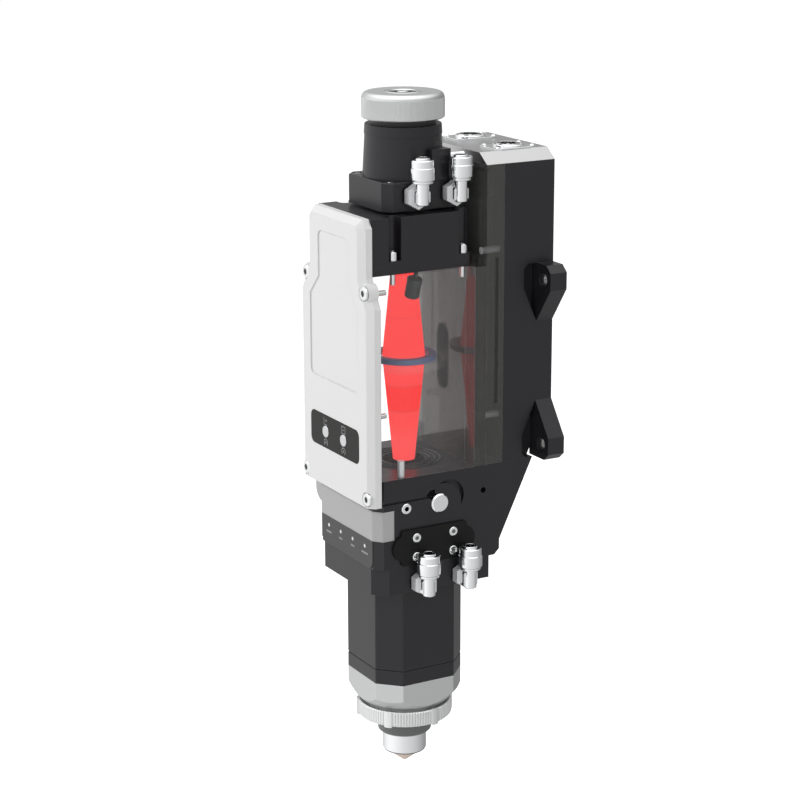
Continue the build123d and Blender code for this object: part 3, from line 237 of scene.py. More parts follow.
metal = {"Metallic": 1.0}
blackCoat = {"Metallic": 0.0, "IOR": 1.43}
dullCoat = {"Metallic": 0.0, "IOR": 1.46, "Specular IOR Level": 0.25}
plainCoat = {"IOR": 1.46}
anodisedBlack = {"dark": (0.0120, 0.0108, 0.0130), "light": (0.0190, 0.0170, 0.0205), "spread": 0.14,
                 "sockets": blackCoat}
# The colour each look lays along its edges is painted: lighter than the look it is a painted edge highlight,
# darker (black_cover, panel_black, button_silver, strip_grey, black_rubber) it is a painted dark outline of
# shade; on the clear and smoked plates it also makes the edges more opaque
looks = {
    "copper": {"dark": (0.93, 0.68, 0.56), "light": (1.0, 0.80, 0.70), "roughness": 0.24, "pitch": 0.0002,
               "paintedEdge": (1.0, 0.88, 0.80), "sockets": metal},
    "plated_steel": {"dark": (0.80, 0.81, 0.82), "light": (0.90, 0.91, 0.92), "roughness": 0.11,
                     "grain": 600.0, "paintedEdge": 1.0, "sockets": metal},
    "hex_plating": {"dark": (0.70, 0.71, 0.72), "light": (0.82, 0.83, 0.84), "roughness": 0.24,
                    "grain": 600.0, "paintedEdge": 1.0, "sockets": {"Metallic": 0.3}},
    "ceramic": {"dark": (0.10, 0.108, 0.106), "light": (0.15, 0.158, 0.156), "roughness": 0.35,
                "paintedEdge": 0.3, "sockets": {"Metallic": 0.0, "Coat Weight": 0.2}},
    "silver_aluminium": {"dark": (0.54, 0.55, 0.55), "light": (0.64, 0.65, 0.65), "roughness": 0.36,
                         "grain": 1400.0, "paintedEdge": 0.9, "bump": 0.1, "sockets": metal},
    "knurled_aluminium": {"dark": (0.74, 0.75, 0.75), "light": (0.86, 0.87, 0.87), "roughness": 0.42,
                          "grain": 1400.0, "paintedEdge": 1.0, "bump": 0.1, "sockets": metal},
    "cap_aluminium": {"dark": (0.62, 0.63, 0.63), "light": (0.72, 0.73, 0.73), "roughness": 0.33,
                      "grain": 1400.0, "paintedEdge": 0.9, "bump": 0.1, "sockets": metal},
    "brushed_plate": {"dark": 0.43, "light": 0.54, "roughness": 0.30, "cloud": 30.0, "paintedEdge": 0.95,
                      "sockets": metal},
    "black_aluminium": {**anodisedBlack, "roughness": 0.33, "paintedEdge": (0.07, 0.07, 0.08), "gain": 2.0},
    "black_bar": {**anodisedBlack, "roughness": 0.30, "paintedEdge": (0.05, 0.05, 0.055), "gain": 1.0,
                  "round": 0.0014},
    "black_cover": {"dark": (0.0040, 0.0042, 0.0040), "light": (0.0065, 0.0068, 0.0065), "roughness": 0.5,
                    "paintedEdge": 0.0, "gain": 8.0, "round": 0.0007, "sockets": dullCoat},
    "black_rubber": {"dark": 0.018, "light": 0.032, "roughness": 0.6, "relief": 0.00008, "paintedEdge": 0.01,
                     "sockets": {"Specular IOR Level": 0.3}},
    "socket_shade": {"dark": 0.12, "light": 0.18, "roughness": 0.5, "sockets": {"Metallic": 0.2}},
    "grey_trim": {"dark": 0.40, "light": 0.45, "roughness": 0.42, "paintedEdge": 0.66, "round": 0.0018,
                  "sockets": plainCoat},
    "strip_grey": {"dark": (0.062, 0.062, 0.064), "light": (0.078, 0.078, 0.080), "roughness": 0.45,
                   "paintedEdge": 0.02, "sockets": dullCoat},
    "light_window": {"dark": 0.70, "light": 0.82, "roughness": 0.25, "sockets": plainCoat},
    "mark_print": {"dark": 0.26, "light": 0.32, "roughness": 0.6, "sockets": dullCoat},
    "clear_plate": {"dark": (0.80, 0.82, 0.82), "light": (0.86, 0.88, 0.88), "roughness": 0.05,
                    "spread": 0.03, "bump": 0.02, "paintedEdge": (0.75, 0.78, 0.77), "clearEdge": 0.55,
                    "gain": 4.0, "sockets": {"Alpha": 0.045, "IOR": 1.49}},
    "smoked_plate": {"dark": (0.050, 0.052, 0.047), "light": (0.072, 0.075, 0.068), "roughness": 0.05,
                     "spread": 0.04, "bump": 0.02, "paintedEdge": (0.25, 0.26, 0.25), "clearEdge": 0.9,
                     "sockets": {"Alpha": 0.74, "IOR": 1.49}},
    "smoked_frame": {"dark": (0.115, 0.119, 0.111), "light": (0.160, 0.165, 0.155), "roughness": 0.06,
                     "spread": 0.04, "bump": 0.02, "paintedEdge": (0.22, 0.225, 0.21), "clearEdge": 0.9,
                     "sockets": {"Alpha": 0.42, "IOR": 1.49}},
    "lens_glass": {"dark": (0.85, 0.90, 0.97), "light": (0.92, 0.95, 1.0), "roughness": 0.03,
                   "spread": 0.01, "bump": 0.01, "sockets": {"Alpha": 0.06, "IOR": 1.5}},
    "blue_anodised": {"dark": (0.110, 0.150, 0.290), "light": (0.140, 0.185, 0.350), "roughness": 0.45,
                      "paintedEdge": (0.18, 0.23, 0.40), "sockets": {"Metallic": 0.0, "IOR": 1.45}},
    "bright_steel": {"dark": 0.56, "light": 0.70, "roughness": 0.26, "paintedEdge": 0.85, "sockets": metal},
    "motor_black": {"dark": 0.008, "light": 0.016, "roughness": 0.5, "paintedEdge": 0.05},
    "white_paint": {"dark": 0.75, "light": 0.80, "roughness": 0.38, "grain": 1500.0, "paintedEdge": 0.86,
                    "round": 0.0007, "sockets": {"IOR": 1.44}},
    "panel_black": {"dark": (0.034, 0.034, 0.033), "light": (0.042, 0.042, 0.041), "roughness": 0.4,
                    "paintedEdge": 0.0, "gain": 8.0, "round": 0.0006,
                    "sockets": {"IOR": 1.46, "Specular IOR Level": 0.06}},
    "button_silver": {"dark": (0.60, 0.61, 0.62), "light": (0.74, 0.75, 0.76), "roughness": 0.2,
                      "paintedEdge": 0.25, "gain": 6.0, "round": 0.0007, "sockets": metal},
    "board_green": {"dark": (0.010, 0.060, 0.030), "light": (0.016, 0.080, 0.040), "roughness": 0.45},
    "connector_black": {"dark": 0.008, "light": 0.014, "roughness": 0.45},
}
# Nodes whose look differs from their slot's usual finish
ownLook = {
    "lock_ring": "knurled_aluminium", "top_plate": "brushed_plate", "drawer_plate": "black_cover",
    "rear_front_frame": "smoked_frame", "lens_carriage": "clear_plate", "sensor_body": "black_bar",
    "seal_collar": "black_bar", "elbow_hexes": "hex_plating", "body_studs": "hex_plating",
}
finishes = {name: makeFinish(name, look) for name, look in looks.items()}
slotOf = {sub["node"]: sub["material_slot"] for sub in frame["record"]["subparts"]}
print("finishes made:", len(finishes))

# Reds of the beam from its foot upwards: height in mm and colour
beamFoot, beamRed = (1.02, 0.070, 0.070), (1.02, 0.046, 0.046)
beamDeep, beamSeam = (0.99, 0.016, 0.014), (0.80, 0.035, 0.035)
beamBands = [
    (204.0, beamFoot), (216.0, beamRed), (223.6, beamRed), (224.1, beamSeam), (224.6, beamDeep),
    (239.2, beamDeep), (239.6, beamSeam), (240.1, beamRed), (280.3, beamRed), (280.7, beamSeam),
    (281.2, beamRed),
]
beamSockets = {"Base Color": (0.0, 0.0, 0.0, 1.0), "Roughness": 1.0, "Specular IOR Level": 0.0,
               "Emission Strength": 1.0, "Alpha": 0.93}


# The beam is light: a red glow that is seen but casts next to nothing
def beamMaterial(bottomZ, topZ):
    material, tree, shader = newMaterial("beam_glow", beamSockets)
    height = addNode(tree, "ShaderNodeSeparateXYZ", Vector=objectPlace(tree)).outputs["Z"]
    share = addNode(tree, "ShaderNodeMapRange", Value=height, From_Min=bottomZ, From_Max=topZ)
    ramp = addNode(tree, "ShaderNodeValToRGB", Fac=share.outputs["Result"])
    stops = ramp.color_ramp.elements
    while len(stops) < len(beamBands):
        stops.new(0.5)
    for stop, (z, colour) in zip(stops, beamBands):
        stop.position = (z * mm - bottomZ) / (topZ - bottomZ)
        stop.color = paint(colour)
    feed(tree, shader.inputs["Emission Color"], ramp.outputs["Color"])
    return material


# Piece helpers

def newObject(name, data):
    item = bpy.data.objects.new(name, data)
    bpy.context.scene.collection.objects.link(item)
    return item


# A plain mesh of an object as its modifiers leave it
def evaluatedMesh(item):
    return bpy.data.meshes.new_from_object(item.evaluated_get(bpy.context.evaluated_depsgraph_get()))


# A piece with a finish on a body
def addPiece(name, mesh, finish, body, smoothAngle=None):
    piece = newObject(name, mesh)
    mesh.materials.clear()
    mesh.materials.append(finishes[finish])
    if smoothAngle:
        mesh.polygons.foreach_set("use_smooth", [True] * len(mesh.polygons))
        mesh.set_sharp_from_angle(angle=radians(smoothAngle))
    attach(piece, body)
    return piece


# The mesh of a finished shell, its faces turned outwards
def toMesh(name, shell):
    bmesh.ops.recalc_face_normals(shell, faces=shell.faces)
    mesh = bpy.data.meshes.new(name)
    shell.to_mesh(mesh)
    shell.free()
    return mesh


# A closed turned surface from (radius, height) corners, in metres
def turnedMesh(name, corners, segments=96):
    shell = bmesh.new()
    angles = [2 * pi * i / segments for i in range(segments)]
    rings = [[shell.verts.new((radius * cos(angle), radius * sin(angle), height)) for angle in angles]
             for radius, height in corners]
    for first, second in zip(rings, rings[1:] + rings[:1]):
        for i in range(segments):
            j = (i + 1) % segments
            shell.faces.new((first[i], first[j], second[j], second[i]))
    bmesh.ops.remove_doubles(shell, verts=shell.verts, dist=1e-7)
    return toMesh(name, shell)


def inMetres(corners):
    return [(radius * mm, height * mm) for radius, height in corners]


def raisedTo(height):
    return Matrix.Translation((0.0, 0.0, height))


turnedSmooth = 35


# A turned piece from corners in mm, carried to its place
def turnedPiece(name, corners, finish, body, place, segments=96):
    mesh = turnedMesh(name, inMetres(corners), segments)
    mesh.transform(place)
    return addPiece(name, mesh, finish, body, turnedSmooth)


# A closed prism between two like outlines
def addPrism(shell, firstOutline, secondOutline):
    first = [shell.verts.new(point) for point in firstOutline]
    second = [shell.verts.new(point) for point in secondOutline]
    shell.faces.new(first)
    shell.faces.new(second[::-1])
    for i in range(len(first)):
        j = (i + 1) % len(first)
        shell.faces.new((first[i], second[i], second[j], first[j]))


# Thin marks on a face that looks along -Y, each from a closed outline of (x, z) points
def markMesh(name, outlines, faceY, thickness):
    shell = bmesh.new()
    for outline in outlines:
        ends = [[(x, y, z) for x, z in outline] for y in (faceY - thickness, faceY)]
        addPrism(shell, *ends)
    return toMesh(name, shell)


def barLoop(x, z, width, height):
    return [(x - width / 2, z - height / 2), (x + width / 2, z - height / 2),
            (x + width / 2, z + height / 2), (x - width / 2, z + height / 2)]


def hexagonLoop(x, z, radius):
    return [(x + radius * cos(pi / 3 * i), z + radius * sin(pi / 3 * i)) for i in range(6)]


# A stroke round part of a circle, as one closed outline
def arcLoop(x, z, radius, width, start, end, steps=20):
    angles = [radians(start + (end - start) * i / steps) for i in range(steps + 1)]
    outer = [(x + (radius + width / 2) * cos(a), z + (radius + width / 2) * sin(a)) for a in angles]
    inner = [(x + (radius - width / 2) * cos(a), z + (radius - width / 2) * sin(a)) for a in reversed(angles)]
    return outer + inner


def dotLoop(x, z, radius):
    return arcLoop(x, z, radius, radius, 0, 350, 10)


nodeDress = {"weld": 0.000002, "hairGap": 0.00006, "crispAngle": 28,
             "touchingPlates": ("optics_chamber", "chamber_back_wall", "rear_front_frame")}


# CAD nodes keep their shape; a weld and an edge split let their curved faces shade smoothly
def dressNode(name, node):
    mesh = node.data
    mesh.materials.clear()
    mesh.materials.append(finishes[ownLook.get(name, slotOf[name])])
    if "custom_normal" in mesh.attributes:
        mesh.attributes.remove(mesh.attributes["custom_normal"])
    mesh.polygons.foreach_set("use_smooth", [True] * len(mesh.polygons))
    node.modifiers.new("weld", "WELD").merge_threshold = nodeDress["weld"]
    # A hair thinner, so that no two see-through faces lie in one plane
    if name in nodeDress["touchingPlates"]:
        shrink = node.modifiers.new("hairGap", "DISPLACE")
        shrink.mid_level = 0.0
        shrink.strength = -nodeDress["hairGap"]
    node.modifiers.new("crispEdges", "EDGE_SPLIT").split_angle = radians(nodeDress["crispAngle"])


for nodeName, cadNode in cadNodes.items():
    dressNode(nodeName, cadNode)
print("nodes dressed")


# Geometry node trees

def newShapeTree(name, inputs):
    return newTree("GeometryNodeTree", name, {**inputs, "Material": None}, {"Geometry": "Geometry"})


# Ends a tree: the shape in its place, as real geometry with its material
def endTree(tree, shape, given, result, shift, turn=(0.0, 0.0, 0.0)):
    move = addNode(tree, "GeometryNodeTransform", Geometry=shape, Translation=shift, Rotation=turn)
    real = addNode(tree, "GeometryNodeRealizeInstances", Geometry=move.outputs["Geometry"])
    coat = addNode(tree, "GeometryNodeSetMaterial", Geometry=real.outputs["Geometry"],
                   Material=given["Material"])
    feed(tree, result["Geometry"], coat.outputs["Geometry"])


def combineNode(tree, **axes):
    return addNode(tree, "ShaderNodeCombineXYZ", **axes).outputs[0]


# Upright ribs round an axis
def ribTree():
    tree, given, result = newShapeTree("ribsRoundAxis", {
        "Count": 96, "Radius": 0.024, "Width": 0.0005, "Depth": 0.0004, "Height": 0.01, "Base": 0.0,
        "Turn": 0.0,
    })
    circle = addNode(tree, "GeometryNodeMeshCircle", Vertices=given["Count"], Radius=given["Radius"])
    rib = addNode(tree, "GeometryNodeMeshCylinder", Vertices=6, Radius=1.0, Depth=1.0)
    place = tree.nodes.new("GeometryNodeInputPosition").outputs[0]
    align = addNode(tree, "FunctionNodeAlignEulerToVector", {"axis": "X", "pivot_axis": "Z"}, Vector=place)
    size = combineNode(tree, X=given["Depth"], Y=given["Width"], Z=given["Height"])
    spread = addNode(tree, "GeometryNodeInstanceOnPoints", Points=circle.outputs["Mesh"],
                     Instance=rib.outputs["Mesh"], Rotation=align.outputs["Rotation"], Scale=size)
    endTree(tree, spread.outputs["Instances"], given, result, combineNode(tree, Z=given["Base"]),
            combineNode(tree, Z=given["Turn"]))
    return tree


# Concentric lands on a floor round a bore
def ringTree():
    tree, given, result = newShapeTree("ringsRoundBore", {
        "Count": 3, "First Radius": 0.016, "Step": 0.003, "Land": 0.0006, "Floor": 0.0,
    })
    row = addNode(tree, "GeometryNodePoints", Count=given["Count"])
    ring = addNode(tree, "GeometryNodeCurvePrimitiveCircle", Resolution=96, Radius=1.0)
    index = tree.nodes.new("GeometryNodeInputIndex").outputs[0]
    size = mathNode(tree, "ADD", mathNode(tree, "MULTIPLY", index, given["Step"]), given["First Radius"])
    spread = addNode(tree, "GeometryNodeInstanceOnPoints", Points=row.outputs[0],
                     Instance=ring.outputs["Curve"], Scale=size)
    real = addNode(tree, "GeometryNodeRealizeInstances", Geometry=spread.outputs["Instances"])
    section = addNode(tree, "GeometryNodeCurvePrimitiveCircle", Resolution=8, Radius=given["Land"])
    solid = addNode(tree, "GeometryNodeCurveToMesh", Curve=real.outputs["Geometry"],
                    Profile_Curve=section.outputs["Curve"])
    endTree(tree, solid.outputs["Mesh"], given, result, combineNode(tree, Z=given["Floor"]))
    return tree


# A screw thread: one spiral ridge round an upright axis
def threadTree():
    tree, given, result = newShapeTree("threadRidge", {
        "Turns": 40.0, "Radius": 0.004, "Length": 0.08, "Ridge": 0.0003, "Place": (0.0, 0.0, 0.0),
    })
    spiral = addNode(tree, "GeometryNodeCurveSpiral", Resolution=20, Rotations=given["Turns"],
                     Start_Radius=given["Radius"], End_Radius=given["Radius"], Height=given["Length"])
    section = addNode(tree, "GeometryNodeCurvePrimitiveCircle", Resolution=5, Radius=given["Ridge"])
    solid = addNode(tree, "GeometryNodeCurveToMesh", Fill_Caps=True, Curve=spiral.outputs["Curve"],
                    Profile_Curve=section.outputs["Curve"])
    endTree(tree, solid.outputs["Mesh"], given, result, given["Place"])
    return tree


# Small domed screws at the four corners of a rectangle that lies flat
def cornerScrewTree():
    tree, given, result = newShapeTree("cornerScrews", {
        "Width": 0.014, "Depth": 0.014, "Head": 0.0012, "Height": 0.0008, "Centre": (0.0, 0.0, 0.0),
    })
    corners = addNode(tree, "GeometryNodeMeshGrid", Vertices_X=2, Vertices_Y=2, Size_X=given["Width"],
                      Size_Y=given["Depth"])
    dome = addNode(tree, "GeometryNodeMeshUVSphere", Segments=20, Rings=10, Radius=1.0)
    size = combineNode(tree, X=given["Head"], Y=given["Head"], Z=given["Height"])
    spread = addNode(tree, "GeometryNodeInstanceOnPoints", Points=corners.outputs["Mesh"],
                     Instance=dome.outputs["Mesh"], Scale=size)
    endTree(tree, spread.outputs["Instances"], given, result, given["Centre"])
    return tree


grownSmooth = 40


# Runs a tree once and keeps its result as a plain mesh on a body
def growPiece(name, tree, settings, finish, body):
    seed = newObject(name + "Seed", bpy.data.meshes.new(name + "Seed"))
    modifier = seed.modifiers.new("grow", "NODES")
    modifier.node_group = tree
    sockets = {item.name: item.identifier for item in tree.interface.items_tree if item.in_out == "INPUT"}
    for label, value in {**settings, "Material": finishes[finish]}.items():
        modifier[sockets[label]] = value
    mesh = evaluatedMesh(seed)
    bpy.data.objects.remove(seed)
    return addPiece(name, mesh, finish, body, grownSmooth)


ribs, rings, thread, cornerScrews = ribTree(), ringTree(), threadTree(), cornerScrewTree()
print("trees built")

# Beam inside the chamber, narrow at both ends and widest at the lens
beam = {"foot": 0.0065, "waist": 0.0126, "head": 0.0070, "smooth": 30}
floorZ, ceilingZ = (corner.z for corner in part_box("optics_chamber"))
lensLow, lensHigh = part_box("lens_ring")
lensZ = (lensLow.z + lensHigh.z) / 2
beamMesh = turnedMesh("beam_light", [
    (0.0, floorZ), (beam["foot"], floorZ), (beam["waist"], lensZ), (beam["head"], ceilingZ), (0.0, ceilingZ),
])
finishes["beam_glow"] = beamMaterial(floorZ, ceilingZ)
addPiece("beam_light", beamMesh, "beam_glow", "head", smoothAngle=beam["smooth"])
print("beam made")

# Machined rings on the chamber floor, round the bore
floorRings = {"Count": 3, "First Radius": 0.0155, "Step": 0.0032, "Land": 0.0007, "Floor": floorZ}
growPiece("floor_rings", rings, floorRings, "black_aluminium", "head")

# Lead screw thread, short of the screw's plain ends
screwLow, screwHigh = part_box("lead_screw")
screwThread = {"plainEnds": 0.010, "pitch": 0.002, "start": 0.001, "ridge": 0.00025}
threadLength = screwHigh.z - screwLow.z - screwThread["plainEnds"]
growPiece("lead_screw_thread", thread, {
    "Turns": threadLength / screwThread["pitch"], "Radius": (screwHigh.x - screwLow.x) / 2,
    "Length": threadLength, "Ridge": screwThread["ridge"],
    "Place": (0.0, (screwLow.y + screwHigh.y) / 2, screwLow.z + screwThread["start"]),
}, "bright_steel", "lead_screw")

# Connectors: square flanges with a round shell each, and a screw in each corner
connectorLow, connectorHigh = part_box("connector_shells")
connector = {"reach": 9.0, "halfX": 9.4, "halfY": 14.0, "inset": 2.2, "plate": 0.9, "bore": 6.25,
             "points": 24, "screwHead": 1.6, "screwHeight": 1.1, "segments": 72}
shellCurve = [
    (connector["bore"], 0.0), (9.0, 0.0), (9.0, 0.8), (8.5, 1.2), (7.9, 1.2), (7.6, 0.5), (7.2, 0.5),
    (6.9, 1.6), (connector["bore"], 1.6),
]
connectorY = (connectorLow.y + connectorHigh.y) / 2
connectorTop = connectorLow.z + connector["plate"] * mm
connectorX = {"left": connectorLow.x + connector["reach"] * mm,
              "right": connectorHigh.x - connector["reach"] * mm}


# Faces from the bore out to the flange's straight edges
def addFlange(shell, x):
    halfX, halfY, bore = (connector[key] * mm for key in ("halfX", "halfY", "bore"))
    inner, outer = [], []
    for i in range(connector["points"]):
        angle = 2 * pi * i / connector["points"]
        edge = 1 / max(abs(cos(angle)) / halfX, abs(sin(angle)) / halfY)
        for ring, radius in ((inner, bore), (outer, edge)):
            y = connectorY + radius * sin(angle)
            ring.append(shell.verts.new((x + radius * cos(angle), y, connectorLow.z)))
    for i in range(len(inner)):
        j = (i + 1) % len(inner)
        shell.faces.new((inner[i], outer[i], outer[j], inner[j]))


plates = bmesh.new()
for side, x in connectorX.items():
    addFlange(plates, x)
    growPiece("connector_screws_" + side, cornerScrews, {
        "Width": 2 * (connector["halfX"] - connector["inset"]) * mm,
        "Depth": 2 * (connector["halfY"] - connector["inset"]) * mm,
        "Head": connector["screwHead"] * mm, "Height": connector["screwHeight"] * mm,
        "Centre": (x, connectorY, connectorTop),
    }, "plated_steel", "head")
raised = bmesh.ops.extrude_face_region(plates, geom=plates.faces[:])["geom"]
bmesh.ops.translate(plates, vec=(0.0, 0.0, connector["plate"] * mm),
                    verts=[item for item in raised if isinstance(item, bmesh.types.BMVert)])
flangeMesh = toMesh("connector_flanges", plates)
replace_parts(addPiece("connector_flanges", flangeMesh, "plated_steel", "head"), "connector_shells")
for side, x in connectorX.items():
    turnedPiece("connector_shell_" + side, shellCurve, "plated_steel", "head",
                Matrix.Translation((x, connectorY, connectorTop)), connector["segments"])

# Elbow fittings, in mm about the swivel point: a stem before the hexagon, a stepped socket, a release ring
elbow = {"barrel": 7.3, "radius": 6.2, "ahead": 3.0, "stem": 3.75, "stemEdge": 0.5, "half": 4.7,
         "corner": 1.6, "gap": 0.2, "deep": 6.65, "front": 0.6, "segments": 64}
elbowHeights = {"upper": {"foot": -4.2, "base": 8.3}, "lower": {"foot": -6.0, "base": 5.6}}
socketSteps = [
    (5.8, 0.0), (6.1, 0.3), (6.1, 1.3), (5.5, 1.5), (5.5, 1.9), (6.8, 2.0), (7.05, 2.4), (7.05, 8.7),
    (6.6, 9.0), (6.6, 12.9), (6.2, 13.4), (4.7, 13.4), (4.7, 4.0), (0.0, 4.0),
]
releaseSteps = [(3.1, 5.6), (4.2, 5.6), (4.2, 13.9), (3.8, 14.5), (3.1, 14.5)]


def liftedSteps(steps, base):
    return [(radius, base + height) for radius, height in steps]


# The elbow's stem and barrel joined into one closed shell, about its swivel point
def elbowMesh(foot, base):
    stemRadius, edge, half, corner = (elbow[key] for key in ("stem", "stemEdge", "half", "corner"))
    stemCurve = [(0.0, foot), (stemRadius - edge, foot), (stemRadius, foot + edge), (stemRadius, base)]
    stemCurve += liftedSteps(socketSteps, base)
    stem = newObject("stem", turnedMesh("stem", inMetres(stemCurve), elbow["segments"]))
    low, high = foot + elbow["gap"], half - elbow["gap"]
    outline = [(-half, low + corner), (corner - half, low), (half - corner, low), (half, low + corner),
               (half, high - corner), (half - corner, high), (corner - half, high), (-half, high - corner)]
    ends = [[(x * mm, y * mm, z * mm) for y, z in outline] for x in (-elbow["deep"], elbow["front"])]
    block = bmesh.new()
    addPrism(block, *ends)
    barrel = newObject("barrel", toMesh("barrel", block))
    join = stem.modifiers.new("join", "BOOLEAN")
    join.operation = "UNION"
    join.solver = "EXACT"
    join.object = barrel
    joined = evaluatedMesh(stem)
    for item in (stem, barrel):
        bpy.data.objects.remove(item)
    return joined


for level, heights in elbowHeights.items():
    for side in ("front", "rear"):
        nodeName = level + "_elbow_" + side
        low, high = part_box(nodeName)
        place = Matrix.Translation((low.x + (elbow["barrel"] / 2 + elbow["ahead"]) * mm, (low.y + high.y) / 2,
                                    low.z + elbow["radius"] * mm))
        shape = elbowMesh(**heights)
        shape.transform(place)
        fitting = addPiece(nodeName + "_look", shape, "plated_steel", nodeName, smoothAngle=turnedSmooth)
        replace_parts(fitting, nodeName)
        collar = turnedPiece(nodeName + "_collar", liftedSteps(releaseSteps, heights["base"]), "plated_steel",
                             nodeName + "_release", place, elbow["segments"])
        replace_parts(collar, nodeName + "_release")
print("fittings made")

# Blue lens ring, in mm about the lens's middle
lensRing = {"outer": 19.2, "inner": 15.0, "half": 1.7, "edge": 0.3, "segments": 128}
outer, inner, half, edge = (lensRing[key] for key in ("outer", "inner", "half", "edge"))
ringCurve = [(inner, -half), (outer - edge, -half), (outer, edge - half), (outer, half - edge),
             (outer - edge, half), (inner, half)]
blueRing = turnedPiece("blue_ring", ringCurve, "blue_anodised", "lens_body", raisedTo(lensZ),
                       lensRing["segments"])
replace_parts(blueRing, "lens_ring")

# Rubber stop: a dark-capped bumper that leans on its pin
stopLow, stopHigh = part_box("carriage_stop")
bumper = {"radius": 4.3, "length": 12.0, "drop": 6.0, "aside": 1.4, "pin": 1.3, "edge": 0.7, "cap": 2.4,
          "capLip": 0.15, "capEdge": 0.3, "lean": (0.24, 0.067, 1.0), "segments": 64}
bumperCurve = [
    (0.0, -bumper["length"]), (bumper["radius"] - bumper["edge"], -bumper["length"]),
    (bumper["radius"], bumper["edge"] - bumper["length"]), (bumper["radius"], -bumper["cap"]),
    (0.0, -bumper["cap"]),
]
bumperCap = [
    (0.0, -bumper["cap"]), (bumper["radius"] + bumper["capLip"], -bumper["cap"]),
    (bumper["radius"] + bumper["capLip"], -bumper["capEdge"]), (bumper["radius"] - bumper["capLip"], 0.0),
    (bumper["pin"], 0.0), (bumper["pin"], bumper["drop"]), (0.0, bumper["drop"]),
]
stopY = (stopLow.y + stopHigh.y) / 2 + bumper["aside"] * mm
stopPlace = Matrix.Translation(((stopLow.x + stopHigh.x) / 2, stopY, stopHigh.z - bumper["drop"] * mm))
stopPlace @= Vector(bumper["lean"]).to_track_quat("Z", "Y").to_matrix().to_4x4()
stopPieces = {"rubber_bumper": (bumperCurve, "black_rubber"), "bumper_cap": (bumperCap, "motor_black")}
for name, (curve, finish) in stopPieces.items():
    part = turnedPiece(name, curve, finish, "head", stopPlace, bumper["segments"])
    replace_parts(part, "carriage_stop")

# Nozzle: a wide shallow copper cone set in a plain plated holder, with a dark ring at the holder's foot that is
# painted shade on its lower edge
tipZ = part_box("nozzle")[0].z
holderLow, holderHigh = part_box("nozzle_holder")
nozzleTip = {"orifice": 0.9, "land": 1.4, "neck": 1.2, "throat": 4.5, "bore": 3.6, "brim": 12.0, "cone": 8.4,
             "rise": 0.7}
tipCurve = [
    (nozzleTip["orifice"], 0.0), (nozzleTip["land"], 0.0), (nozzleTip["brim"], nozzleTip["cone"]),
    (nozzleTip["brim"], nozzleTip["cone"] + nozzleTip["rise"]),
    (nozzleTip["bore"], nozzleTip["cone"] + nozzleTip["rise"]),
    (nozzleTip["bore"], nozzleTip["throat"]), (nozzleTip["orifice"], nozzleTip["neck"]),
]
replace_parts(turnedPiece("nozzle_tip", tipCurve, "copper", "head", raisedTo(tipZ)), "nozzle")
holder = {"radius": (holderHigh.x - holderLow.x) / 2 / mm, "top": (holderHigh.z - tipZ) / mm, "foot": 8.8,
          "edge": 0.3, "inner": 12.1, "step": 8.2, "stepIn": 0.45}
holderCurve = [
    (holder["inner"], holder["foot"]), (holder["radius"] - holder["edge"], holder["foot"]),
    (holder["radius"], holder["foot"] + holder["edge"]), (holder["radius"], holder["top"]),
    (holder["inner"], holder["top"]),
]
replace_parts(turnedPiece("plain_holder", holderCurve, "plated_steel", "head", raisedTo(tipZ)), "nozzle_holder")
# Painted shade: a dark ring under the holder's foot, where its lower edge shows dark
footShadeRadius = holder["radius"] - holder["stepIn"]
footShadeCurve = [(holder["inner"], holder["step"]), (footShadeRadius, holder["step"]), (footShadeRadius, holder["foot"]),
             (holder["inner"], holder["foot"])]
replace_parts(turnedPiece("holder_foot_shade", footShadeCurve, "ceramic", "head", raisedTo(tipZ)), "nozzle_holder")

# Raised tabs on the lock ring's smooth pads
ringLow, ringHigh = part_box("lock_ring")
ringTab = {"count": 6, "sunk": 0.0004, "proud": 0.0010, "width": 0.0028, "depth": 0.0013, "turn": 10.4}
growPiece("ring_tabs", ribs, {
    "Count": ringTab["count"], "Radius": (ringHigh.x - ringLow.x) / 2 - ringTab["sunk"],
    "Width": ringTab["width"], "Depth": ringTab["depth"], "Height": ringHigh.z - ringLow.z + ringTab["proud"],
    "Base": (ringHigh.z + ringLow.z) / 2, "Turn": radians(ringTab["turn"]),
}, "knurled_aluminium", "lock_ring")

# Painted shadow under the lock ring: a dark cone standing for the shade between the ring and the ceramic
ringPaintedShadow = [(16.9, -1.1), (21.2, -1.1), (21.8, 0.2), (16.9, 0.2)]
turnedPiece("ring_painted_shadow", ringPaintedShadow, "motor_black", "lock_ring", raisedTo(ringLow.z))

# Gasket lines along both sides of the rear frame
frameLow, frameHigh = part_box("rear_front_frame")
gasket = {"ahead": 0.0060, "width": 0.0019, "foot": 0.0367, "head": 0.1235, "print": 0.00006}
gasketY = frameLow.y + gasket["ahead"] + gasket["width"] / 2
gasketZ = frameLow.z + (gasket["foot"] + gasket["head"]) / 2
for sideName, side in (("left", -1), ("right", 1)):
    line = barLoop(side * gasketY, gasketZ, gasket["width"], gasket["head"] - gasket["foot"])
    mesh = markMesh("frame_gasket", [line], -frameHigh.x, gasket["print"])
    mesh.transform(Matrix.Rotation(radians(90 * side), 4, "Z"))
    addPiece("frame_gasket_" + sideName, mesh, "black_rubber", "head")

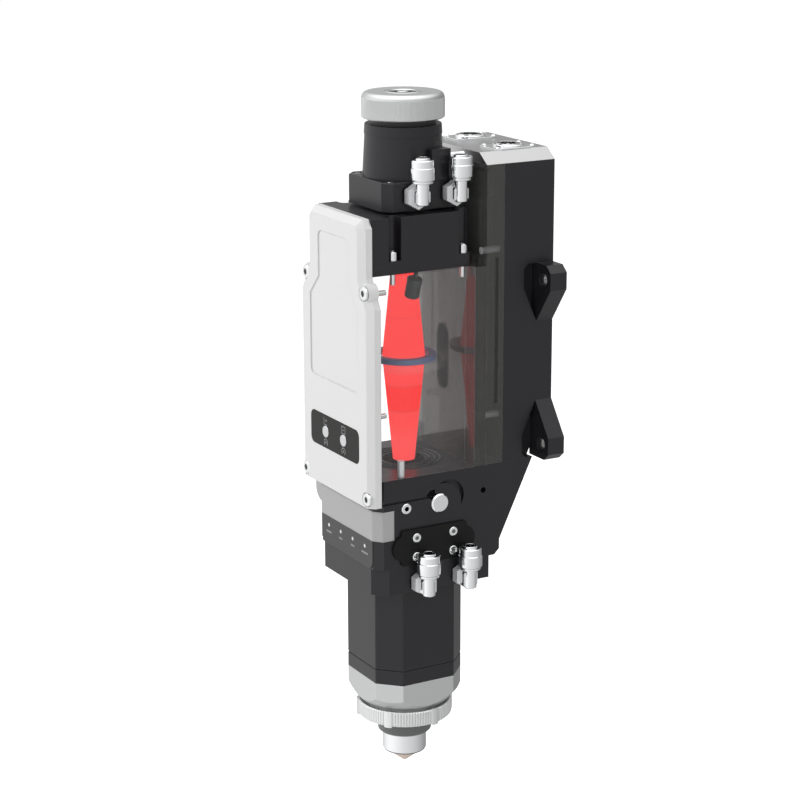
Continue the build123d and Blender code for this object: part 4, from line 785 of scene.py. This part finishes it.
# Painted shade in the cover screws' sockets: dark hexagons set at the socket floors, where the shade falls
coverLow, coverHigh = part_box("cover_screws")
coverSocketShade = {"head": 0.004, "inset": 0.0025, "radius": 0.0021, "sunk": 0.0001, "depth": 0.0006}
lowX, topZ = coverHigh.x - coverSocketShade["head"], coverHigh.z - coverSocketShade["head"]
screwPlaces = ((lowX, coverLow.z + coverSocketShade["head"]), (lowX - coverSocketShade["inset"], topZ))
shadeHexagons = [hexagonLoop(sign * x, z, coverSocketShade["radius"]) for sign in (-1, 1) for x, z in screwPlaces]
socketBack = coverLow.y + coverSocketShade["sunk"] + coverSocketShade["depth"]
addPiece("cover_socket_shade", markMesh("cover_socket_shade", shadeHexagons, socketBack, coverSocketShade["depth"]),
         "motor_black", "head")

# Painted shade in the sockets of the side screw and the drawer plate's screws: dark hexagons at the socket
# floors
sideSocketShade = {"share": 0.45, "back": 0.0007, "depth": 0.0006}
headRadii = {"side_screw": 0.0032, "drawer_plate_screws": 0.00275}
for number, (nodeName, headRadius) in enumerate(headRadii.items()):
    low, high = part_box(nodeName)
    rows = [sorted({round(start + headRadius, 6), round(end - headRadius, 6)})
            for start, end in ((low.y, high.y), (low.z, high.z))]
    outlines = [hexagonLoop(y, z, headRadius * sideSocketShade["share"]) for y in rows[0] for z in rows[1]]
    mesh = markMesh("side_socket_shade", outlines, sideSocketShade["back"] - high.x, sideSocketShade["depth"])
    mesh.transform(Matrix.Rotation(radians(90), 4, "Z"))
    addPiece("side_sockets_%d" % (number + 1), mesh, "socket_shade", "head")

# Steel bushes in the four mounting lugs
lugBush = {"x": 43.5, "front": 71.2, "length": 8.0, "outer": 4.15, "inner": 3.1, "rise": 59.0, "spread": 49.5,
           "segments": 48}
bushCurve = [(lugBush["inner"], 0.0), (lugBush["outer"], 0.0), (lugBush["outer"], lugBush["length"]),
             (lugBush["inner"], lugBush["length"])]
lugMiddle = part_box("lower_block")[1].z / mm + lugBush["rise"]
lugPlaces = [(sideX * lugBush["x"], lugBush["front"], lugMiddle + stepZ * lugBush["spread"])
             for sideX in (-1, 1) for stepZ in (-1, 1)]
for number, lugPlace in enumerate(lugPlaces):
    place = Matrix.Translation(Vector(lugPlace) * mm) @ Matrix.Rotation(radians(-90), 4, "X")
    turnedPiece("lug_bush_%d" % (number + 1), bushCurve, "bright_steel", "head", place, lugBush["segments"])

# Fibre cap: a rounded turned cap with a very fine straight knurl
capLow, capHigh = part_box("fibre_cap")
cap = {"rim": 23.75, "inner": 17.0, "edge": 0.7, "round": 3.2, "roundSteps": 6, "recess": 10.9, "sink": 1.5,
       "bore": 7.4, "roof": 5.5, "segments": 128}
capFoot, capTop = capLow.z / mm, capHigh.z / mm
capAngles = [pi / 2 * i / cap["roundSteps"] for i in range(cap["roundSteps"] + 1)]
arcRadius, arcZ = cap["rim"] - cap["round"], capTop - cap["round"]
roundArc = [(arcRadius + cap["round"] * cos(angle), arcZ + cap["round"] * sin(angle)) for angle in capAngles]
capCurve = [
    (cap["inner"], capFoot), (cap["rim"] - cap["edge"], capFoot), (cap["rim"], capFoot + cap["edge"]),
    *roundArc, (cap["recess"], capTop), (cap["recess"], capTop - cap["sink"]),
    (cap["bore"], capTop - cap["sink"]), (cap["bore"], capTop - cap["roof"]),
    (cap["inner"], capTop - cap["roof"]),
]
capPiece = turnedPiece("knurled_cap", capCurve, "cap_aluminium", "fibre_cap", raisedTo(0.0), cap["segments"])
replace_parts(capPiece, "fibre_cap")
knurl = {"count": 216, "width": 0.00028, "depth": 0.0002}
knurlFoot, knurlTop = (capFoot + cap["edge"]) * mm, (capTop - cap["round"]) * mm
growPiece("cap_knurl", ribs, {
    "Count": knurl["count"], "Radius": cap["rim"] * mm, "Width": knurl["width"], "Depth": knurl["depth"],
    "Height": knurlTop - knurlFoot, "Base": (knurlFoot + knurlTop) / 2,
}, "cap_aluminium", "fibre_cap")
# What shows in the cap's bore, in mm about its top
capCentre = {
    "cap_ring": ("plated_steel", [(7.4, -3.2), (10.8, -3.2), (10.8, -0.5), (10.2, 0.1), (8.2, 0.1),
                                  (7.6, -0.3), (7.4, -0.4)]),
    "cap_shade": ("motor_black", [(3.4, -3.0), (7.5, -3.0), (7.5, -0.35), (3.4, -0.35)]),
    "cap_ferrule": ("plated_steel", [(1.6, -3.0), (3.4, -3.0), (3.4, 0.0), (3.0, 0.2), (1.6, 0.2)]),
}
for name, (finish, steps) in capCentre.items():
    turnedPiece(name, steps, finish, "fibre_cap", raisedTo(capHigh.z), cap["segments"] // 2)
print("cap made")

# Generic marks above and below the panel's buttons
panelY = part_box("control_panel")[0].y
panelMark = {"stroke": 0.0005, "above": 0.0062, "below": 0.0066, "radius": 0.0021, "arcFrom": -50,
             "arcTo": 230, "print": 0.00003}
stroke, reach = panelMark["stroke"], panelMark["radius"]
loops = []
for nodeName in ("button_left", "button_right"):
    low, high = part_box(nodeName)
    x, z = (low.x + high.x) / 2, (low.z + high.z) / 2
    top, foot = z + panelMark["above"], z - panelMark["below"]
    loops.append(arcLoop(x, foot, reach, stroke, panelMark["arcFrom"], panelMark["arcTo"]))
    loops.append(dotLoop(x, foot, stroke))
    if nodeName == "button_left":
        loops.append(barLoop(x - reach, top, stroke, 2 * reach))
        loops.append(barLoop(x, top - reach, 2 * reach - stroke, stroke))
        loops.append(dotLoop(x + reach / 4, top + reach / 4, stroke))
    else:
        for side in (-1, 1):
            loops.append(barLoop(x + side * reach, top, stroke, 2 * reach + stroke))
            loops.append(barLoop(x, top + side * reach, 2 * reach - stroke, stroke))
        loops.append(barLoop(x, top, reach, stroke))
addPiece("panel_marks", markMesh("panel_marks", loops, panelY, panelMark["print"]), "mark_print", "head")

# Short generic bars under the status lights
lightsLow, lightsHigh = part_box("status_lights")
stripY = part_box("status_strip")[0].y
stripMark = {"drop": 0.0042, "height": 0.0012, "widths": (0.0066, 0.0042, 0.0042, 0.0078), "print": 0.00003}
lightRadius = (lightsHigh.z - lightsLow.z) / 2
lightPitch = (lightsHigh.x - lightsLow.x - 2 * lightRadius) / (len(stripMark["widths"]) - 1)
barZ = lightsLow.z + lightRadius - stripMark["drop"]
bars = [barLoop(lightsLow.x + lightRadius + lightPitch * i, barZ, width, stripMark["height"])
        for i, width in enumerate(stripMark["widths"])]
addPiece("strip_marks", markMesh("strip_marks", bars, stripY, stripMark["print"]), "mark_print", "head")
print("pieces made")

# Floor, world and lamps

floorLook = {"z": -0.09, "half": 6.0, "haze": 0.62}
floorSockets = {"Base Color": paint(0.9), "Roughness": 0.9, "Specular IOR Level": 0.0,
                "Emission Color": paint(1.0)}
# What mirrors see: a level, more towards the front, a slant across, and a bright roof
sky = {"level": 0.72, "front": -0.39, "cross": 0.23, "roofFrom": 0.4, "roof": 2.2, "fill": 0.5}
lamps = {
    "keyLamp": {"place": (-0.7, -1.5, 1.1), "size": 1.0, "power": 15.0},
    "sideLamp": {"place": (1.5, -0.2, 0.9), "size": 0.9, "power": 3.0},
    "topLamp": {"place": (0.1, 0.3, 1.9), "size": 1.0, "power": 9.0},
}


def makeFloor():
    half, z = floorLook["half"], floorLook["z"]
    corners = [(-half, -half, z), (half, -half, z), (half, half, z), (-half, half, z)]
    mesh = bpy.data.meshes.new("studio_floor")
    mesh.from_pydata(corners, [], [(0, 1, 2, 3)])
    material, tree, shader = newMaterial("paleFloor", floorSockets)
    path = tree.nodes.new("ShaderNodeLightPath").outputs
    seen = mathNode(tree, "MAXIMUM", path["Is Camera Ray"], path["Is Glossy Ray"])
    seen = mathNode(tree, "MAXIMUM", seen, path["Is Transmission Ray"])
    feed(tree, shader.inputs["Emission Strength"], mathNode(tree, "MULTIPLY", seen, floorLook["haze"]))
    mesh.materials.append(material)
    floor = newObject("studio_floor", mesh)
    floor.visible_glossy = False


def makeWorld():
    world = bpy.data.worlds.new("studio")
    bpy.context.scene.world = world
    world.use_nodes = True
    tree = world.node_tree
    tree.nodes.clear()
    path = tree.nodes.new("ShaderNodeLightPath").outputs
    outwards = tree.nodes.new("ShaderNodeTexCoord").outputs["Generated"]
    direction = addNode(tree, "ShaderNodeSeparateXYZ", Vector=outwards).outputs
    front = mathNode(tree, "MULTIPLY", direction["Y"], sky["front"])
    slant = mathNode(tree, "MULTIPLY", direction["X"], direction["Y"])
    cross = mathNode(tree, "MULTIPLY", slant, sky["cross"])
    roof = mathNode(tree, "MAXIMUM", mathNode(tree, "SUBTRACT", direction["Z"], sky["roofFrom"]), 0.0)
    sides = mathNode(tree, "ADD", mathNode(tree, "ADD", front, cross), sky["level"])
    mirrored = mathNode(tree, "ADD", sides, mathNode(tree, "MULTIPLY", roof, sky["roof"]))
    glossy = mathNode(tree, "MULTIPLY", mirrored, path["Is Glossy Ray"])
    plain = mathNode(tree, "MAXIMUM", path["Is Camera Ray"], path["Is Transmission Ray"])
    bounced = mathNode(tree, "MULTIPLY", path["Is Diffuse Ray"], sky["fill"])
    strength = mathNode(tree, "ADD", mathNode(tree, "MAXIMUM", glossy, plain), bounced)
    light = addNode(tree, "ShaderNodeBackground", Color=paint(1.0), Strength=strength)
    addNode(tree, "ShaderNodeOutputWorld", Surface=light.outputs[0])


def addLamp(name, place, size, power, target):
    data = bpy.data.lights.new(name, "AREA")
    data.shape = "DISK"
    data.size = size
    data.energy = power
    lamp = newObject(name, data)
    lamp.visible_glossy = False
    aim = target - Vector(place)
    lamp.matrix_world = Matrix.Translation(place) @ aim.to_track_quat("-Z", "Y").to_matrix().to_4x4()


makeFloor()
makeWorld()
for name, lamp in lamps.items():
    addLamp(name, **lamp, target=(cadLow + cadHigh) / 2)

# Camera fitted to the photograph: place in mm, angles in degrees
lens = {"place": (1105.79, -623.53, 572.94), "azimuth": 60.681, "pitch": 15.157, "roll": -0.167,
        "focal": 100.26, "sensor": 36.0, "near": 0.01, "far": 50.0}


def makeCamera():
    turn, dip, roll = (radians(lens[key]) for key in ("azimuth", "pitch", "roll"))
    back = Vector((sin(turn) * cos(dip), -cos(turn) * cos(dip), sin(dip)))
    level = Vector((cos(turn), sin(turn), 0.0))
    upright = back.cross(level)
    right = level * cos(roll) + upright * sin(roll)
    up = upright * cos(roll) - level * sin(roll)
    data = bpy.data.cameras.new("camera")
    data.lens = lens["focal"]
    data.sensor_width = lens["sensor"]
    data.clip_start = lens["near"]
    data.clip_end = lens["far"]
    camera = newObject("camera", data)
    axes = Matrix((right, up, back)).transposed().to_4x4()
    camera.matrix_world = Matrix.Translation(Vector(lens["place"]) * mm) @ axes
    bpy.context.scene.camera = camera


makeCamera()
bpy.context.scene.view_settings.view_transform = "Standard"
print("studio ready")
